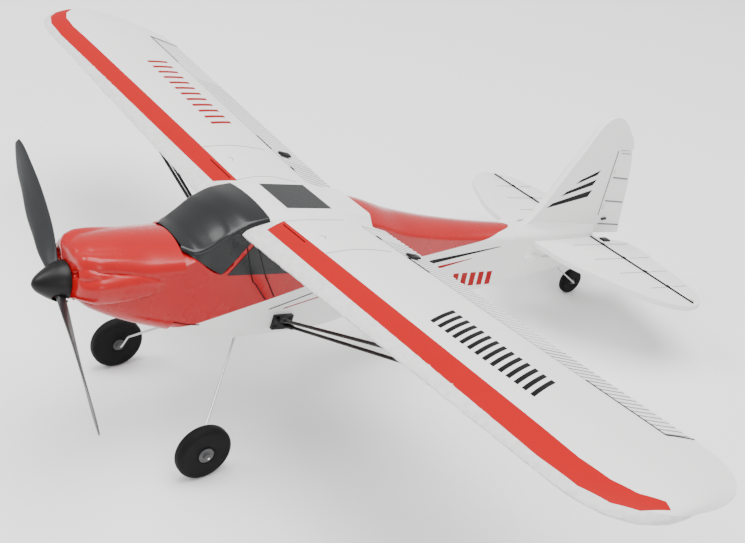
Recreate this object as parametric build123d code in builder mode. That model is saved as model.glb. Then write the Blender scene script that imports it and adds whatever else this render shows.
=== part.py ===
from build123d import *
import math
import os

# Small high-wing taildragger foam model. Millimetres. The pieces are drawn level, in the
# airframe frame: +X port, +Y tail, +Z up, with y = 0 and z = 0 at the top of the windshield.
# save() then tips each finished piece nose-up onto its three wheels.

# Overall
half_span = 250.0
dihedral = 3.45
wing_root_x = 20.0
wheel_radius = 13.75
wheel_width = 6.4
main_axle = Vector(48.0, -23.6, -104.3)
tail_wheel_radius = 8.25
tail_wheel_width = 4.4
tail_axle = Vector(0, 256.5, -52.5)

# Wing
leading_edge_y = -14.0
hinge_y = 51.0
trailing_edge_y = 70.0
hinge_z = -3.15
tip_start = 193.0
tip_length = half_span - wing_root_x - tip_start
aileron_inner = 4.0
aileron_outer = 192.4
surface_radius = 1.5
surface_gap = 0.35
spar_y = 14.0
spar_z = -1.0
spar_radius = 1.25
spar_reach = 75.0

# Tail
stab_z = -20.5
stab_thickness = 3.0
elevator_hinge_y = 255.5
stab_half_span = 90.0
elevator_half_span = 88.5
fin_half = 2.1
rudder_foot = Vector(0, 258.0, -14.2)
rudder_head = Vector(0, 252.0, 37.3)
hinge_rod_radius = 0.6
hinge_bore_radius = 0.66
lug_width = 2.4
lug_radius = 1.4
lug_room_width = 3.2
lug_room_radius = 2.1

# Control linkages
rod_radius = 0.5
pin_hole_radius = 0.57
horn_hole_radius = 0.65
aileron_lever = 7.0
elevator_lever = 9.5
rudder_lever = 9.0
arm_thickness = 1.2
horn_clearance = 0.5
servo_y = 58.0

# Drive
down_thrust = 5.0
prop_radius = 70.0
spinner_radius = 9.4
spinner_length = 14.6
gear_module = 0.4
spur_teeth = 32
pinion_teeth = 8
motor_radius = 4.25

# Shell
wall = 3.5
cowl_wall = 2.0
side_glass_thickness = 1.2
roof_glass_thickness = 0.9

# Three-point stance: tip the level airframe until both tread circles touch the ground
axle_run = tail_axle.Y - main_axle.Y
axle_rise = tail_axle.Z - main_axle.Z
stance_angle = math.degrees(
    math.atan2(axle_rise, axle_run)
    + math.asin((wheel_radius - tail_wheel_radius) / math.hypot(axle_run, axle_rise))
)
tip = Rotation(-stance_angle, 0, 0)
tipped_axle_z = (tip * Pos(main_axle)).position.Z
centre_y = 84.31
stance = Pos(0, -centre_y, wheel_radius - tipped_axle_z) * tip

os.makedirs("parts", exist_ok=True)


def save(piece, label):
    """Stand a finished piece on the ground with the rest, name it and write it."""
    piece.part = piece.part.moved(stance)
    piece.part.label = label
    export_step(piece.part, f"parts/{label}.step")


def save_pair(piece, stem):
    """Write a port piece and its mirror image on the starboard side."""
    with BuildPart() as twin:
        mirror(piece.part, about=Plane.YZ)
    save(piece, stem + "_left")
    save(twin, stem + "_right")


def cross_plane(y):
    """Cross-section plane of the fuselage: local x is +X, local y is +Z."""
    return Plane(origin=(0, y, 0), x_dir=(1, 0, 0), z_dir=(0, -1, 0))


def hull_section(y, half_width, crown, drop, keel, corner):
    """Fuselage section: flat keel, round lower corners, upright sides, arched top."""
    shoulder = crown - drop
    low = keel + corner
    inner = half_width - corner
    with BuildSketch(cross_plane(y)) as section:
        with BuildLine():
            Line((-inner, keel), (inner, keel))
            CenterArc((inner, low), corner, -90, 90)
            Line((half_width, low), (half_width, shoulder))
            ThreePointArc((half_width, shoulder), (0, crown), (-half_width, shoulder))
            Line((-half_width, shoulder), (-half_width, low))
            CenterArc((-inner, low), corner, 180, 90)
        make_face()
    return section.sketch


def hull_loft(stations, inset):
    """Sections for a hull, or for its inside when inset is the wall thickness."""
    return [
        hull_section(y, half - inset, crown - inset, drop, keel + inset, corner - inset / 2)
        for y, half, crown, drop, keel, corner in stations
    ]


def bar_plane(start, end):
    """Plane at start whose normal points to end."""
    return Plane(origin=start, z_dir=end - start)


def add_bar(start, end, radius):
    """Solid round bar between two points, for use as a private object."""
    return bar_plane(start, end) * Cylinder(
        radius,
        (end - start).length,
        align=(Align.CENTER, Align.CENTER, Align.MIN),
        mode=Mode.PRIVATE,
    )


def wire(points, radius, bend):
    """Round wire bent along points, one solid."""
    with BuildPart() as bent:
        with BuildLine() as path:
            FilletPolyline(*points, radius=bend)
        with BuildSketch(bar_plane(points[0], points[1])):
            Circle(radius)
        sweep(path=path.line)
    return bent


# ---------------------------------------------------------------- fuselage and nose

# y, half width, crown z, drop from crown to shoulder, keel z, corner radius
cabin_stations = [
    (-38.0, 20.0, 1.5, 3.0, -57.0, 9.0),
    (-20.0, 20.3, 1.5, 3.0, -61.8, 9.0),
    (5.0, 20.3, 1.5, 3.0, -65.4, 9.0),
    (30.0, 19.8, 1.5, 3.5, -64.6, 9.0),
    (62.0, 18.0, 1.0, 5.0, -60.6, 8.0),
    (90.0, 16.2, -4.8, 5.5, -57.4, 7.0),
    (125.0, 13.8, -9.4, 5.0, -53.9, 6.0),
    (170.0, 10.8, -12.3, 4.0, -49.4, 5.0),
    (205.0, 8.3, -13.0, 3.0, -44.3, 4.0),
]
tail_stations = [
    (243.0, 5.3, -13.8, 1.6, -38.0, 2.6),
    (254.0, 4.3, -14.2, 1.2, -35.4, 2.2),
]
cowl_stations = [
    (-81.0, 13.5, -22.5, 5.0, -41.5, 5.0),
    (-76.0, 16.8, -20.6, 6.0, -44.6, 6.5),
    (-58.0, 19.2, -18.2, 6.5, -51.4, 8.0),
    (-38.0, 20.0, -17.0, 6.0, -57.0, 9.0),
]

# Thrust line: origin at the spinner's back face, z forward along the shaft
thrust = Plane(
    origin=(0, -83.4, -39.0),
    x_dir=(1, 0, 0),
    z_dir=(0, -math.cos(math.radians(down_thrust)), -math.sin(math.radians(down_thrust))),
)
gear_centres = gear_module * (spur_teeth + pinion_teeth) / 2

# Rudder hinge: z up the hinge, x to port
rudder_axis = (rudder_head - rudder_foot).normalized()
rudder_pivot = rudder_foot + rudder_axis * 5.3
rudder_plane = Plane(origin=rudder_pivot, x_dir=(1, 0, 0), z_dir=rudder_axis)
rudder_lugs = (14.0, 38.0)
rudder_rod = add_bar(rudder_foot - rudder_axis * 2.0, rudder_head + rudder_axis * 4.0, hinge_rod_radius)

elevator_arm_x = 5.9
elevator_rod_x = elevator_arm_x + 2.0
elevator_pin = Vector(elevator_arm_x, elevator_hinge_y, stab_z - elevator_lever)
elevator_servo_pin = Vector(elevator_arm_x, servo_y, stab_z - elevator_lever)
rudder_pin = Vector(-rudder_lever, rudder_pivot.Y, rudder_pivot.Z)
rudder_servo_pin = Vector(-rudder_lever, servo_y, -35.4)

with BuildPart() as fin:
    with BuildSketch(Plane(origin=(-fin_half, 0, 0), x_dir=(0, 1, 0), z_dir=(1, 0, 0))):
        with BuildLine():
            front = Spline(
                (188.0, -16.0), (199.5, -4.0), (210.2, 16.3), (223.1, 41.5), (231.7, 55.2), (238.6, 57.8)
            )
            head = Spline(
                (238.6, 57.8), (247.0, 55.4), (256.0, 48.5), (263.4, 38.2), tangents=[(1, 0), (0.25, -1)]
            )
            Polyline(head @ 1, (252.0, 38.2), (258.0, -14.2), (254.0, -16.0), (188.0, -16.0))
        make_face()
    extrude(amount=2 * fin_half)
    groove_foot, groove_head = rudder_foot - rudder_axis * 6, rudder_head + rudder_axis * 0.9
    add(add_bar(groove_foot, groove_head, surface_radius + surface_gap), mode=Mode.SUBTRACT)
    # Lugs that carry the rudder's hinge rod, and a notch that the horn swings in
    for height in rudder_lugs:
        lug_plane = Plane(origin=rudder_foot + rudder_axis * height, x_dir=(1, 0, 0), z_dir=rudder_axis)
        with Locations(lug_plane.location):
            with Locations((0, -1.0, 0)):
                Box(lug_width, 2 * lug_radius, lug_width)
            Cylinder(lug_radius, lug_width)
    add(rudder_rod, mode=Mode.SUBTRACT)
    with Locations(rudder_plane.location):
        with Locations((-2.6, 0, arm_thickness / 2)):
            Box(3.4, 6.0, arm_thickness + 2 * horn_clearance, mode=Mode.SUBTRACT)

with BuildPart() as stabilizer:
    with BuildSketch(Plane.XY.offset(stab_z - stab_thickness / 2)):
        with BuildLine():
            edge = Spline(
                (0, 195.0), (9.7, 196.7), (37.4, 201.0), (53.5, 208.7), (70.7, 219.0), (85.5, 234.0),
                (stab_half_span, 249.0),
            )
            Polyline(edge @ 1, (88.8, elevator_hinge_y), (0, elevator_hinge_y), (0, 195.0))
        make_face()
        mirror(about=Plane.YZ)
    extrude(amount=stab_thickness)
    add(
        add_bar(
            Vector(-95, elevator_hinge_y, stab_z),
            Vector(95, elevator_hinge_y, stab_z),
            surface_radius + surface_gap,
        ),
        mode=Mode.SUBTRACT,
    )
    lug_spots = [(side * x, elevator_hinge_y - 1.0, stab_z) for side in (-1, 1) for x in (15.0, 50.0, 84.0)]
    with Locations(*lug_spots):
        Box(lug_width, 2 * lug_radius, lug_width)
    with Locations(*[(x, y + 1.0, z) for x, y, z in lug_spots]):
        Cylinder(lug_radius, lug_width, rotation=(0, 90, 0))
        Cylinder(hinge_rod_radius, lug_width + 0.2, rotation=(0, 90, 0), mode=Mode.SUBTRACT)

with BuildPart() as side_window:
    with BuildSketch(Plane(origin=(19.3, 0, 0), x_dir=(0, 1, 0), z_dir=(1, 0, 0))):
        with BuildLine():
            Polyline((-15.6, -27.5), (30.0, -27.5), (40.0, -9.2), (-3.6, -9.2), (-15.6, -27.5))
        make_face()
    extrude(amount=side_glass_thickness)

# Control rods: how far each runs from its levers, and the channel it leaves the hull by
rod_line = 2.0
channel_radius = 1.6
channel_start = 0.3
elevator_run = (
    elevator_servo_pin + Vector(rod_line, 0, 0),
    elevator_pin + Vector(rod_line, 0, 0),
)
rudder_run = (rudder_servo_pin + rudder_axis * rod_line, rudder_pin + rudder_axis * rod_line)

# Landing gear wires, sprung steel; the main one is one piece from wheel to wheel
main_wire_radius = 0.6
tail_wire_radius = 0.5
tail_axle_reach = 3.9
axle_tip = main_axle + Vector(5.8, 0, 0)
leg = [
    axle_tip,
    main_axle - Vector(5.4, 0, 0),
    Vector(41.8, -21.4, -97.8),
    Vector(12.6, 3.0, -67.2),
    Vector(12.4, 3.0, -62.2),
]
other_leg = [Vector(-point.X, point.Y, point.Z) for point in reversed(leg)]
main_gear_wire = wire(leg + other_leg, main_wire_radius, 1.5)
tail_gear_wire = wire(
    [
        tail_axle - Vector(tail_axle_reach, 0, 0),
        tail_axle + Vector(tail_axle_reach, 0, 0),
        Vector(3.4, 236.5, -41.8),
        Vector(1.0, 230.0, -33.0),
    ],
    tail_wire_radius,
    1.2,
)

# Block that clamps the main wire, in a wider slot across the belly that clears the wire
gear_block = (0, 3.0, -62.2)
gear_block_size = (21.0, 12.0, 6.2)
gear_slot_size = (26.0, 12.0, 8.0)
with BuildPart() as hull:
    loft(hull_loft(cabin_stations + tail_stations, 0))
with BuildPart() as fuselage:
    add(hull.part)
    loft(hull_loft(cabin_stations, wall), mode=Mode.SUBTRACT)
    # Greenhouse cut: everything above the deck line and ahead of the door pillar
    with BuildSketch(Plane(origin=(-30, 0, 0), x_dir=(0, 1, 0), z_dir=(1, 0, 0))):
        with BuildLine():
            Polyline(
                (-40.0, -17.0), (-33.0, -19.6), (-19.2, -26.5), (-4.5, -6.0), (61.6, -6.0), (61.6, 5.0),
                (-40.0, 5.0), (-40.0, -17.0),
            )
        make_face()
    extrude(amount=60, mode=Mode.SUBTRACT)
    with Locations((0, 236.0, stab_z)):
        Box(30, 84, stab_thickness, mode=Mode.SUBTRACT)
    add(fin.part, mode=Mode.SUBTRACT)
    with Locations(gear_block):
        Box(*gear_slot_size, mode=Mode.SUBTRACT)
    for start, end in (elevator_run, rudder_run):
        add(add_bar(start + (end - start) * channel_start, end, channel_radius), mode=Mode.SUBTRACT)
    add(tail_gear_wire.part, mode=Mode.SUBTRACT)
    add(side_window.part, mode=Mode.SUBTRACT)
    add(mirror(side_window.part, about=Plane.YZ, mode=Mode.PRIVATE), mode=Mode.SUBTRACT)

# The shell is moulded in two halves that meet on the centre plane
with BuildPart() as fuselage_left:
    add(fuselage.part)
    split(bisect_by=Plane.YZ, keep=Keep.TOP)
with BuildPart() as fuselage_right:
    add(fuselage.part)
    split(bisect_by=Plane.YZ, keep=Keep.BOTTOM)

hatch_front, hatch_rear, hatch_half, hatch_gap = -73.0, -42.0, 9.5, 0.3
hatch_middle = (0, (hatch_front + hatch_rear) / 2, -52.0)
hatch_length, hatch_cut_height = hatch_rear - hatch_front, 22.0
with BuildPart() as cowl_skin:
    loft(hull_loft(cowl_stations, 0))
    loft(hull_loft([(-79.0, *cowl_stations[0][1:])] + cowl_stations[1:], cowl_wall), mode=Mode.SUBTRACT)
    # Shaft opening and two air intakes in the front face, chin intake below
    with BuildSketch(cross_plane(-78.0)):
        with Locations((0, -37.6)):
            Circle(6.0)
        with Locations((-8.5, -29.0), (8.5, -29.0)):
            Ellipse(3.0, 2.2)
    extrude(amount=6, mode=Mode.SUBTRACT)

# Barrel hinge along the hatch's rear edge: centre knuckle on the hatch, outer ones on the cowl
hatch_pivot = Vector(0, -41.85, -56.9)
knuckle_radius, knuckle_room = 1.3, 1.6
centre_knuckle, outer_knuckle, knuckle_gap = 4.0, 8.3, 0.3
pin_reach = 9.0


def knuckle(low_x, high_x, radius):
    """Round bar on the hatch's hinge axis between two x positions."""
    return add_bar(hatch_pivot + Vector(low_x, 0, 0), hatch_pivot + Vector(high_x, 0, 0), radius)


with BuildPart() as nose_cowl:
    add(cowl_skin.part)
    with Locations(hatch_middle):
        Box(2 * (hatch_half + hatch_gap), hatch_length + 2 * hatch_gap, hatch_cut_height, mode=Mode.SUBTRACT)
    knuckle_start = centre_knuckle + knuckle_gap
    add(knuckle(-knuckle_start, knuckle_start, knuckle_room), mode=Mode.SUBTRACT)
    for side in (-1, 1):
        add(knuckle(side * knuckle_start, side * outer_knuckle, knuckle_radius))
    add(knuckle(-pin_reach, pin_reach, hinge_rod_radius), mode=Mode.SUBTRACT)

with BuildPart() as battery_hatch:
    add(cowl_skin.part)
    with Locations(hatch_middle):
        Box(2 * hatch_half, hatch_length, hatch_cut_height, mode=Mode.INTERSECT)
    for side in (-1, 1):
        room = knuckle(side * centre_knuckle, side * (outer_knuckle + knuckle_gap), knuckle_room)
        add(room, mode=Mode.SUBTRACT)
    add(knuckle(-centre_knuckle, centre_knuckle, knuckle_radius))
    add(knuckle(-pin_reach, pin_reach, hinge_bore_radius), mode=Mode.SUBTRACT)

# Windshield: a bubble from the deck line up to the wing, hollow behind
glass_stations = [
    (-37.6, 10.0, -16.6, 1.5),
    (-33.0, 16.0, -15.8, 3.5),
    (-26.0, 18.2, -10.6, 4.5),
    (-18.0, 18.8, -3.6, 4.0),
    (-10.0, 18.6, 0.0, 2.6),
    (-0.2, 18.0, 1.2, 1.4),
]


def glass_section(y, half_width, crown, drop):
    """Windshield section: upright cheeks under an arched crown, open space below."""
    floor = -30.0
    with BuildSketch(cross_plane(y)) as section:
        with BuildLine():
            Polyline((half_width, crown - drop), (half_width, floor), (-half_width, floor),
                     (-half_width, crown - drop))
            ThreePointArc((-half_width, crown - drop), (0, crown), (half_width, crown - drop))
        make_face()
    return section.sketch


glass_wall = 1.0
with BuildPart() as windshield:
    loft([glass_section(*row) for row in glass_stations])
    loft(
        [glass_section(y, half - glass_wall, crown - glass_wall, drop) for y, half, crown, drop
         in glass_stations[1:]],
        mode=Mode.SUBTRACT,
    )
    with BuildSketch(Plane(origin=(-30, 0, 0), x_dir=(0, 1, 0), z_dir=(1, 0, 0))):
        with BuildLine():
            Polyline((-45, -17.0), (-40.0, -17.0), (-33.0, -19.5), (-19.2, -26.4), (-4.6, -6.0), (0, -6.0),
                     (0, 8), (-45, 8), (-45, -17.0))
        make_face()
    extrude(amount=60, mode=Mode.INTERSECT)

# Cabin roof: foam centre section between the wing halves, with the roof window let into it
roof_top = [(0, 1.2), (12.0, 3.0), (38.0, 2.9), (52.0, 1.8), (61.6, 1.0)]
with BuildPart() as roof_window:
    with BuildSketch(Plane.XY.offset(2.2)):
        with BuildLine():
            Polyline((-13.1, 12.3), (13.1, 12.3), (13.0, 38.0), (-13.0, 38.0), (-13.1, 12.3))
        make_face()
    extrude(amount=roof_glass_thickness)
with BuildPart() as cabin_roof:
    with BuildSketch(Plane(origin=(-wing_root_x, 0, 0), x_dir=(0, 1, 0), z_dir=(1, 0, 0))):
        with BuildLine():
            Spline(*roof_top)
            Polyline((61.6, 1.0), (61.6, -6.0), (0, -6.0), (0, 1.2))
        make_face()
    extrude(amount=2 * wing_root_x)
    add(roof_window.part, mode=Mode.SUBTRACT)
    with Locations((0, spar_y, spar_z)):
        Cylinder(spar_radius, 2 * wing_root_x + 2, rotation=(0, 90, 0), mode=Mode.SUBTRACT)

# ---------------------------------------------------------------- wing

# Wing frame at the root: x out along the span, y aft, z up
wing = Plane(
    origin=(wing_root_x, 0, 0),
    x_dir=(math.cos(math.radians(dihedral)), 0, math.sin(math.radians(dihedral))),
    z_dir=(-math.sin(math.radians(dihedral)), 0, math.cos(math.radians(dihedral))),
)
span_axis = wing.x_dir
chord = trailing_edge_y - leading_edge_y
thick_y = 19.0
tip_power = 2.5
root_gap = 0.15


def wing_point(u, y, w):
    """Wing coordinates (span, aft, up) to the airframe frame."""
    return wing.from_local_coords(Vector(u, y, w))


def span_plane(u, y=0.0, w=0.0):
    """Plane across the wing at span u: local x aft, local y up."""
    return Plane(origin=wing_point(u, y, w), x_dir=(0, 1, 0), z_dir=span_axis)


def airfoil(u, front, rear, depth):
    """Section between front and rear, its thickness scaled by depth."""
    size = (rear - front) / chord

    def at(y, z):
        return (front + (y - leading_edge_y) * size, (z + 3.2) * depth - 3.2)

    with BuildSketch(span_plane(u)) as section:
        with BuildLine():
            Spline(at(-14, -6.8), at(-11, -8.7), at(0, -8.8), at(16, -7.0), at(40, -5.2), at(70, -7.1))
            Line(at(70, -7.1), at(70, -5.9))
            Spline(at(70, -5.9), at(52, -1.5), at(38, 1.0), at(20, 2.0), at(4, 0.2), at(-10, -3.8),
                   at(-14, -6.8))
        make_face()
    return section.sketch


def tip_section(share):
    """Section in the rounded tip, share of the way from its start to its end."""
    width = (1 - share**tip_power) ** (1 / tip_power)
    front = thick_y + (leading_edge_y - thick_y) * width
    rear = thick_y + (trailing_edge_y - thick_y) * width
    return airfoil(tip_start + share * tip_length, front, rear, width**0.8)


# Aileron servo pocket, linkage line and hinge in wing coordinates
horn_u = 37.0
servo_hub = (horn_u - 2.4, 30.0, -4.0)
aileron_rod = add_bar(
    wing_point(aileron_inner - 3.0, hinge_y, hinge_z),
    wing_point(aileron_outer + 4.0, hinge_y, hinge_z),
    hinge_rod_radius,
)

with BuildPart() as wing_left:
    loft([airfoil(root_gap, leading_edge_y, trailing_edge_y, 1.0)]
         + [tip_section(share) for share in (0, 0.35, 0.6, 0.8, 0.92, 0.98)], ruled=True)
    # Room for the aileron: a round hinge groove and everything behind it
    with BuildSketch(span_plane(aileron_inner - 0.6, hinge_y, hinge_z)):
        Circle(surface_radius + surface_gap)
        with Locations((15, 0)):
            Rectangle(30, 16)
    extrude(amount=aileron_outer - aileron_inner + 1.2, mode=Mode.SUBTRACT)
    add(aileron_rod, mode=Mode.SUBTRACT)
    with Locations((spar_reach, spar_y, spar_z)):
        Cylinder(spar_radius, 2 * spar_reach, rotation=(0, 90, 0), mode=Mode.SUBTRACT)
    # Servo pocket and the slot that the arm and rod swing in, open below
    with BuildSketch(span_plane(servo_hub[0] - 11.2, servo_hub[1], servo_hub[2])):
        with Locations((-4.0, -2.95)):
            Rectangle(20.6, 12.5)
    extrude(amount=11.4, mode=Mode.SUBTRACT)
    with BuildSketch(span_plane(servo_hub[0] - 1.2, servo_hub[1], servo_hub[2])):
        with Locations((1.5, -4.0)):
            Rectangle(15.0, 13.4)
    extrude(amount=5.4, mode=Mode.SUBTRACT)

with BuildPart() as aileron_left:
    with BuildSketch(span_plane(aileron_inner, hinge_y, hinge_z)):
        with BuildLine():
            Polyline((0, surface_radius), (19.0, -2.75), (19.0, -3.85), (0, -surface_radius))
            CenterArc((0, 0), surface_radius, 90, 180)
        make_face()
    extrude(amount=aileron_outer - aileron_inner)

with BuildPart() as aileron_horn_left:
    with BuildSketch(span_plane(horn_u, hinge_y, hinge_z)):
        with BuildLine():
            Polyline((-1.6, -aileron_lever), (0, -aileron_lever - 1.8), (1.8, -aileron_lever), (8.0, -3.4),
                     (8.0, 1.4), (2.0, 2.6), (2.0, -2.2), (-1.6, -aileron_lever))
        make_face()
        with Locations((0, -aileron_lever)):
            Circle(horn_hole_radius, mode=Mode.SUBTRACT)
    extrude(amount=arm_thickness)
    for lift in (1.35, -3.5):
        with BuildSketch(span_plane(horn_u - 1.4, hinge_y, hinge_z)):
            with Locations(Location((5.0, lift, 0), (0, 0, -7.5))):
                Rectangle(6.4, 1.0)
        extrude(amount=4.0)

with BuildPart() as aileron_left_cut:
    add(aileron_left.part)
    bore_start, bore_end = wing_point(0, hinge_y, hinge_z), wing_point(aileron_outer + 4.0, hinge_y, hinge_z)
    add(add_bar(bore_start, bore_end, hinge_bore_radius), mode=Mode.SUBTRACT)
    add(aileron_horn_left.part, mode=Mode.SUBTRACT)

with BuildPart() as wing_spar:
    with Locations((0, spar_y, spar_z)):
        Cylinder(spar_radius, 2 * spar_reach, rotation=(0, 90, 0))


def servo_case(plane):
    """Micro servo whose output turns about plane's z; the case reaches back along -x."""
    with BuildPart(plane) as case:
        with Locations((-4.0, 0, -6.1)):
            Box(15.0, 6.4, 9.8)
        with Locations((-4.0, 0, -4.0)):
            Box(20.0, 6.4, 1.2)
        Cylinder(2.6, 1.2, align=(Align.CENTER, Align.CENTER, Align.MAX))
        with Locations((-11.6, 0, -9.5)):
            Box(1.2, 4.0, 2.4)
    return case


def servo_arm(plane, lever):
    """Arm on the servo's output: hub at the origin, pin hole a lever away along +x."""
    with BuildPart(plane) as arm:
        with BuildSketch(plane):
            Circle(2.4)
            with Locations((lever, 0)):
                Circle(1.4)
            Polygon((0, 2.2), (lever, 1.3), (lever, -1.3), (0, -2.2), align=None)
            with Locations((lever, 0)):
                Circle(pin_hole_radius, mode=Mode.SUBTRACT)
        extrude(amount=arm_thickness)
        with Locations((0, 0, arm_thickness)):
            Cylinder(1.5, 0.8, align=(Align.CENTER, Align.CENTER, Align.MIN))
    return arm


def push_rod(start, end, axis, line, start_tail, end_tail):
    """Straight rod held off the levers by line along axis, its bent ends through their holes."""
    corners = [start + axis * start_tail, start + axis * line, end + axis * line, end + axis * end_tail]
    return wire(corners, rod_radius, 0.8)


# Wing servo: output axis along the span, lever straight down
aileron_servo_plane = Plane(origin=wing_point(*servo_hub), x_dir=-wing.z_dir, z_dir=span_axis)
aileron_servo_case_plane = Plane(origin=wing_point(*servo_hub), x_dir=(0, 1, 0), z_dir=span_axis)
aileron_servo_left = servo_case(aileron_servo_case_plane)
aileron_arm_left = servo_arm(aileron_servo_plane, aileron_lever)
aileron_servo_pin = wing_point(servo_hub[0], servo_hub[1], servo_hub[2] - aileron_lever)
aileron_pin = wing_point(servo_hub[0], hinge_y, hinge_z - aileron_lever)
aileron_push_rod_left = push_rod(aileron_servo_pin, aileron_pin, span_axis, 1.8, -0.4, 4.0)

# ---------------------------------------------------------------- tail

with BuildPart() as rudder:
    with BuildSketch(Plane(origin=(-surface_radius, 0, 0), x_dir=(0, 1, 0), z_dir=(1, 0, 0))):
        with BuildLine():
            trailing = Spline((263.6, 37.4), (271.0, 20.0), (276.5, 0.0), (281.8, -17.6))
            Polyline(trailing @ 1, (258.45, -17.6), (252.0, 37.4), (263.6, 37.4))
        make_face()
    extrude(amount=2 * surface_radius)
    add(add_bar(rudder_foot - rudder_axis * 3.2, rudder_head - rudder_axis * 0.1, surface_radius))
    for height in rudder_lugs:
        lug_plane = Plane(origin=rudder_foot + rudder_axis * height, x_dir=(1, 0, 0), z_dir=rudder_axis)
        with Locations(lug_plane.location):
            Cylinder(lug_room_radius, lug_room_width, mode=Mode.SUBTRACT)
    add(add_bar(rudder_foot - rudder_axis * 6, rudder_head + rudder_axis * 6, hinge_bore_radius),
        mode=Mode.SUBTRACT)

with BuildPart() as rudder_horn:
    with BuildSketch(Plane(origin=rudder_pivot, x_dir=(-1, 0, 0), z_dir=-rudder_axis)):
        with BuildLine():
            Polyline((surface_radius, -1.0), (rudder_lever - 1.0, -1.7), (rudder_lever + 1.6, 0),
                     (rudder_lever, 1.6), (surface_radius, 6.5), (-2.6, 6.5), (-2.6, 2.5),
                     (surface_radius, 2.5), (surface_radius, -1.0))
        make_face()
        with Locations((rudder_lever, 0)):
            Circle(horn_hole_radius, mode=Mode.SUBTRACT)
    extrude(amount=-arm_thickness)

with BuildPart() as elevator:
    with BuildSketch(Plane.XY.offset(stab_z - surface_radius)):
        with BuildLine():
            rear = Spline(
                (elevator_half_span, elevator_hinge_y), (83.0, 265.5), (68.4, 272.5), (50.0, 277.0),
                (32.8, 279.4), (13.0, 279.0), tangents=[(-0.2, 1), (-1, -0.25)],
            )
            Polyline(rear @ 1, (4.6, elevator_hinge_y + 2.7), (0, elevator_hinge_y + 2.7),
                     (0, elevator_hinge_y), (elevator_half_span, elevator_hinge_y))
        make_face()
        mirror(about=Plane.YZ)
    extrude(amount=2 * surface_radius)
    with Locations((0, elevator_hinge_y, stab_z)):
        Cylinder(surface_radius, 2 * elevator_half_span, rotation=(0, 90, 0))
    with Locations(*[(x, y + 1.0, z) for x, y, z in lug_spots]):
        Cylinder(lug_room_radius, lug_room_width, rotation=(0, 90, 0), mode=Mode.SUBTRACT)
    with Locations((0, elevator_hinge_y, stab_z)):
        Cylinder(hinge_bore_radius, 190, rotation=(0, 90, 0), mode=Mode.SUBTRACT)

with BuildPart() as hinge_rods:
    with Locations((0, elevator_hinge_y, stab_z)):
        Cylinder(hinge_rod_radius, 2 * elevator_half_span, rotation=(0, 90, 0))
    add(rudder_rod)
    add(knuckle(-outer_knuckle, outer_knuckle, hinge_rod_radius))
    add(aileron_rod)
    mirror(aileron_rod, about=Plane.YZ)

horn_x = elevator_rod_x + 0.8
with BuildPart() as elevator_horn:
    with BuildSketch(Plane(origin=(horn_x, elevator_hinge_y, stab_z), x_dir=(0, 1, 0), z_dir=(1, 0, 0))):
        with BuildLine():
            Polyline((-1.6, -elevator_lever), (0, -elevator_lever - 1.6), (1.7, -elevator_lever + 0.4),
                     (8.4, -surface_radius), (8.4, 2.6), (2.8, 2.6), (2.8, -3.0),
                     (-1.6, -elevator_lever))
        make_face()
        with Locations((0, -elevator_lever)):
            Circle(horn_hole_radius, mode=Mode.SUBTRACT)
    extrude(amount=arm_thickness)
    for lift in (surface_radius + 0.5, -surface_radius - 0.5):
        with Locations((horn_x + 0.6, elevator_hinge_y + 5.6, stab_z + lift)):
            Box(4.0, 6.0, 1.0)

with BuildPart() as elevator_cut:
    add(elevator.part)
    add(elevator_horn.part, mode=Mode.SUBTRACT)
with BuildPart() as rudder_cut:
    add(rudder.part)
    add(rudder_horn.part, mode=Mode.SUBTRACT)

elevator_servo_hub = Vector(elevator_arm_x, servo_y, stab_z)
elevator_servo = servo_case(Plane(origin=elevator_servo_hub, x_dir=(0, 1, 0), z_dir=(1, 0, 0)))
elevator_arm = servo_arm(
    Plane(origin=elevator_servo_hub, x_dir=(0, 0, -1), z_dir=(1, 0, 0)), elevator_lever
)
elevator_push_rod = push_rod(elevator_servo_pin, elevator_pin, Vector(1, 0, 0), rod_line, -0.4, 4.4)
rudder_servo_hub = Vector(0, servo_y, rudder_servo_pin.Z)
rudder_servo = servo_case(Plane(origin=rudder_servo_hub, x_dir=(0, 1, 0), z_dir=rudder_axis))
rudder_arm = servo_arm(Plane(origin=rudder_servo_hub, x_dir=(-1, 0, 0), z_dir=rudder_axis), rudder_lever)
rudder_push_rod = push_rod(rudder_servo_pin, rudder_pin, rudder_axis, rod_line, -0.4, -0.4)

# Teardrop fairings over the places where the rods leave the hull
fairing_half_length, fairing_radius = 11.0, 2.7


def rod_fairing(start, end, share):
    """Teardrop centred share of the way from start to end, cut to the hull and bored for the rod."""
    centre = start + (end - start) * share
    along = (end - start).normalized()
    with BuildPart() as pod:
        with BuildSketch(Plane(origin=centre, x_dir=along, z_dir=Vector(1, 0, 0))):
            with BuildLine():
                Spline((-fairing_half_length, 0), (-3.0, fairing_radius), (fairing_half_length, 0))
                Line((fairing_half_length, 0), (-fairing_half_length, 0))
            make_face()
        revolve(axis=Axis(centre, along))
        add(hull.part, mode=Mode.SUBTRACT)
        add(stabilizer.part, mode=Mode.SUBTRACT)
        add(add_bar(start, end, channel_radius), mode=Mode.SUBTRACT)
    return pod


with BuildPart() as rod_fairings:
    add(rod_fairing(*elevator_run, 0.72).part)
    add(rod_fairing(*rudder_run, 0.66).part)

with BuildPart() as servo_tray:
    with BuildSketch(cross_plane(44.0)):
        with Locations((0, -31.0)):
            Rectangle(31.0, 30.0)
        with Locations((0, -24.0)):
            Rectangle(12.0, 5.0, mode=Mode.SUBTRACT)
    extrude(amount=1.6)

# ---------------------------------------------------------------- drive


def thrust_plane(forward):
    """Plane across the shaft, forward of the spinner's back face."""
    return thrust.offset(forward)


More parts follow.
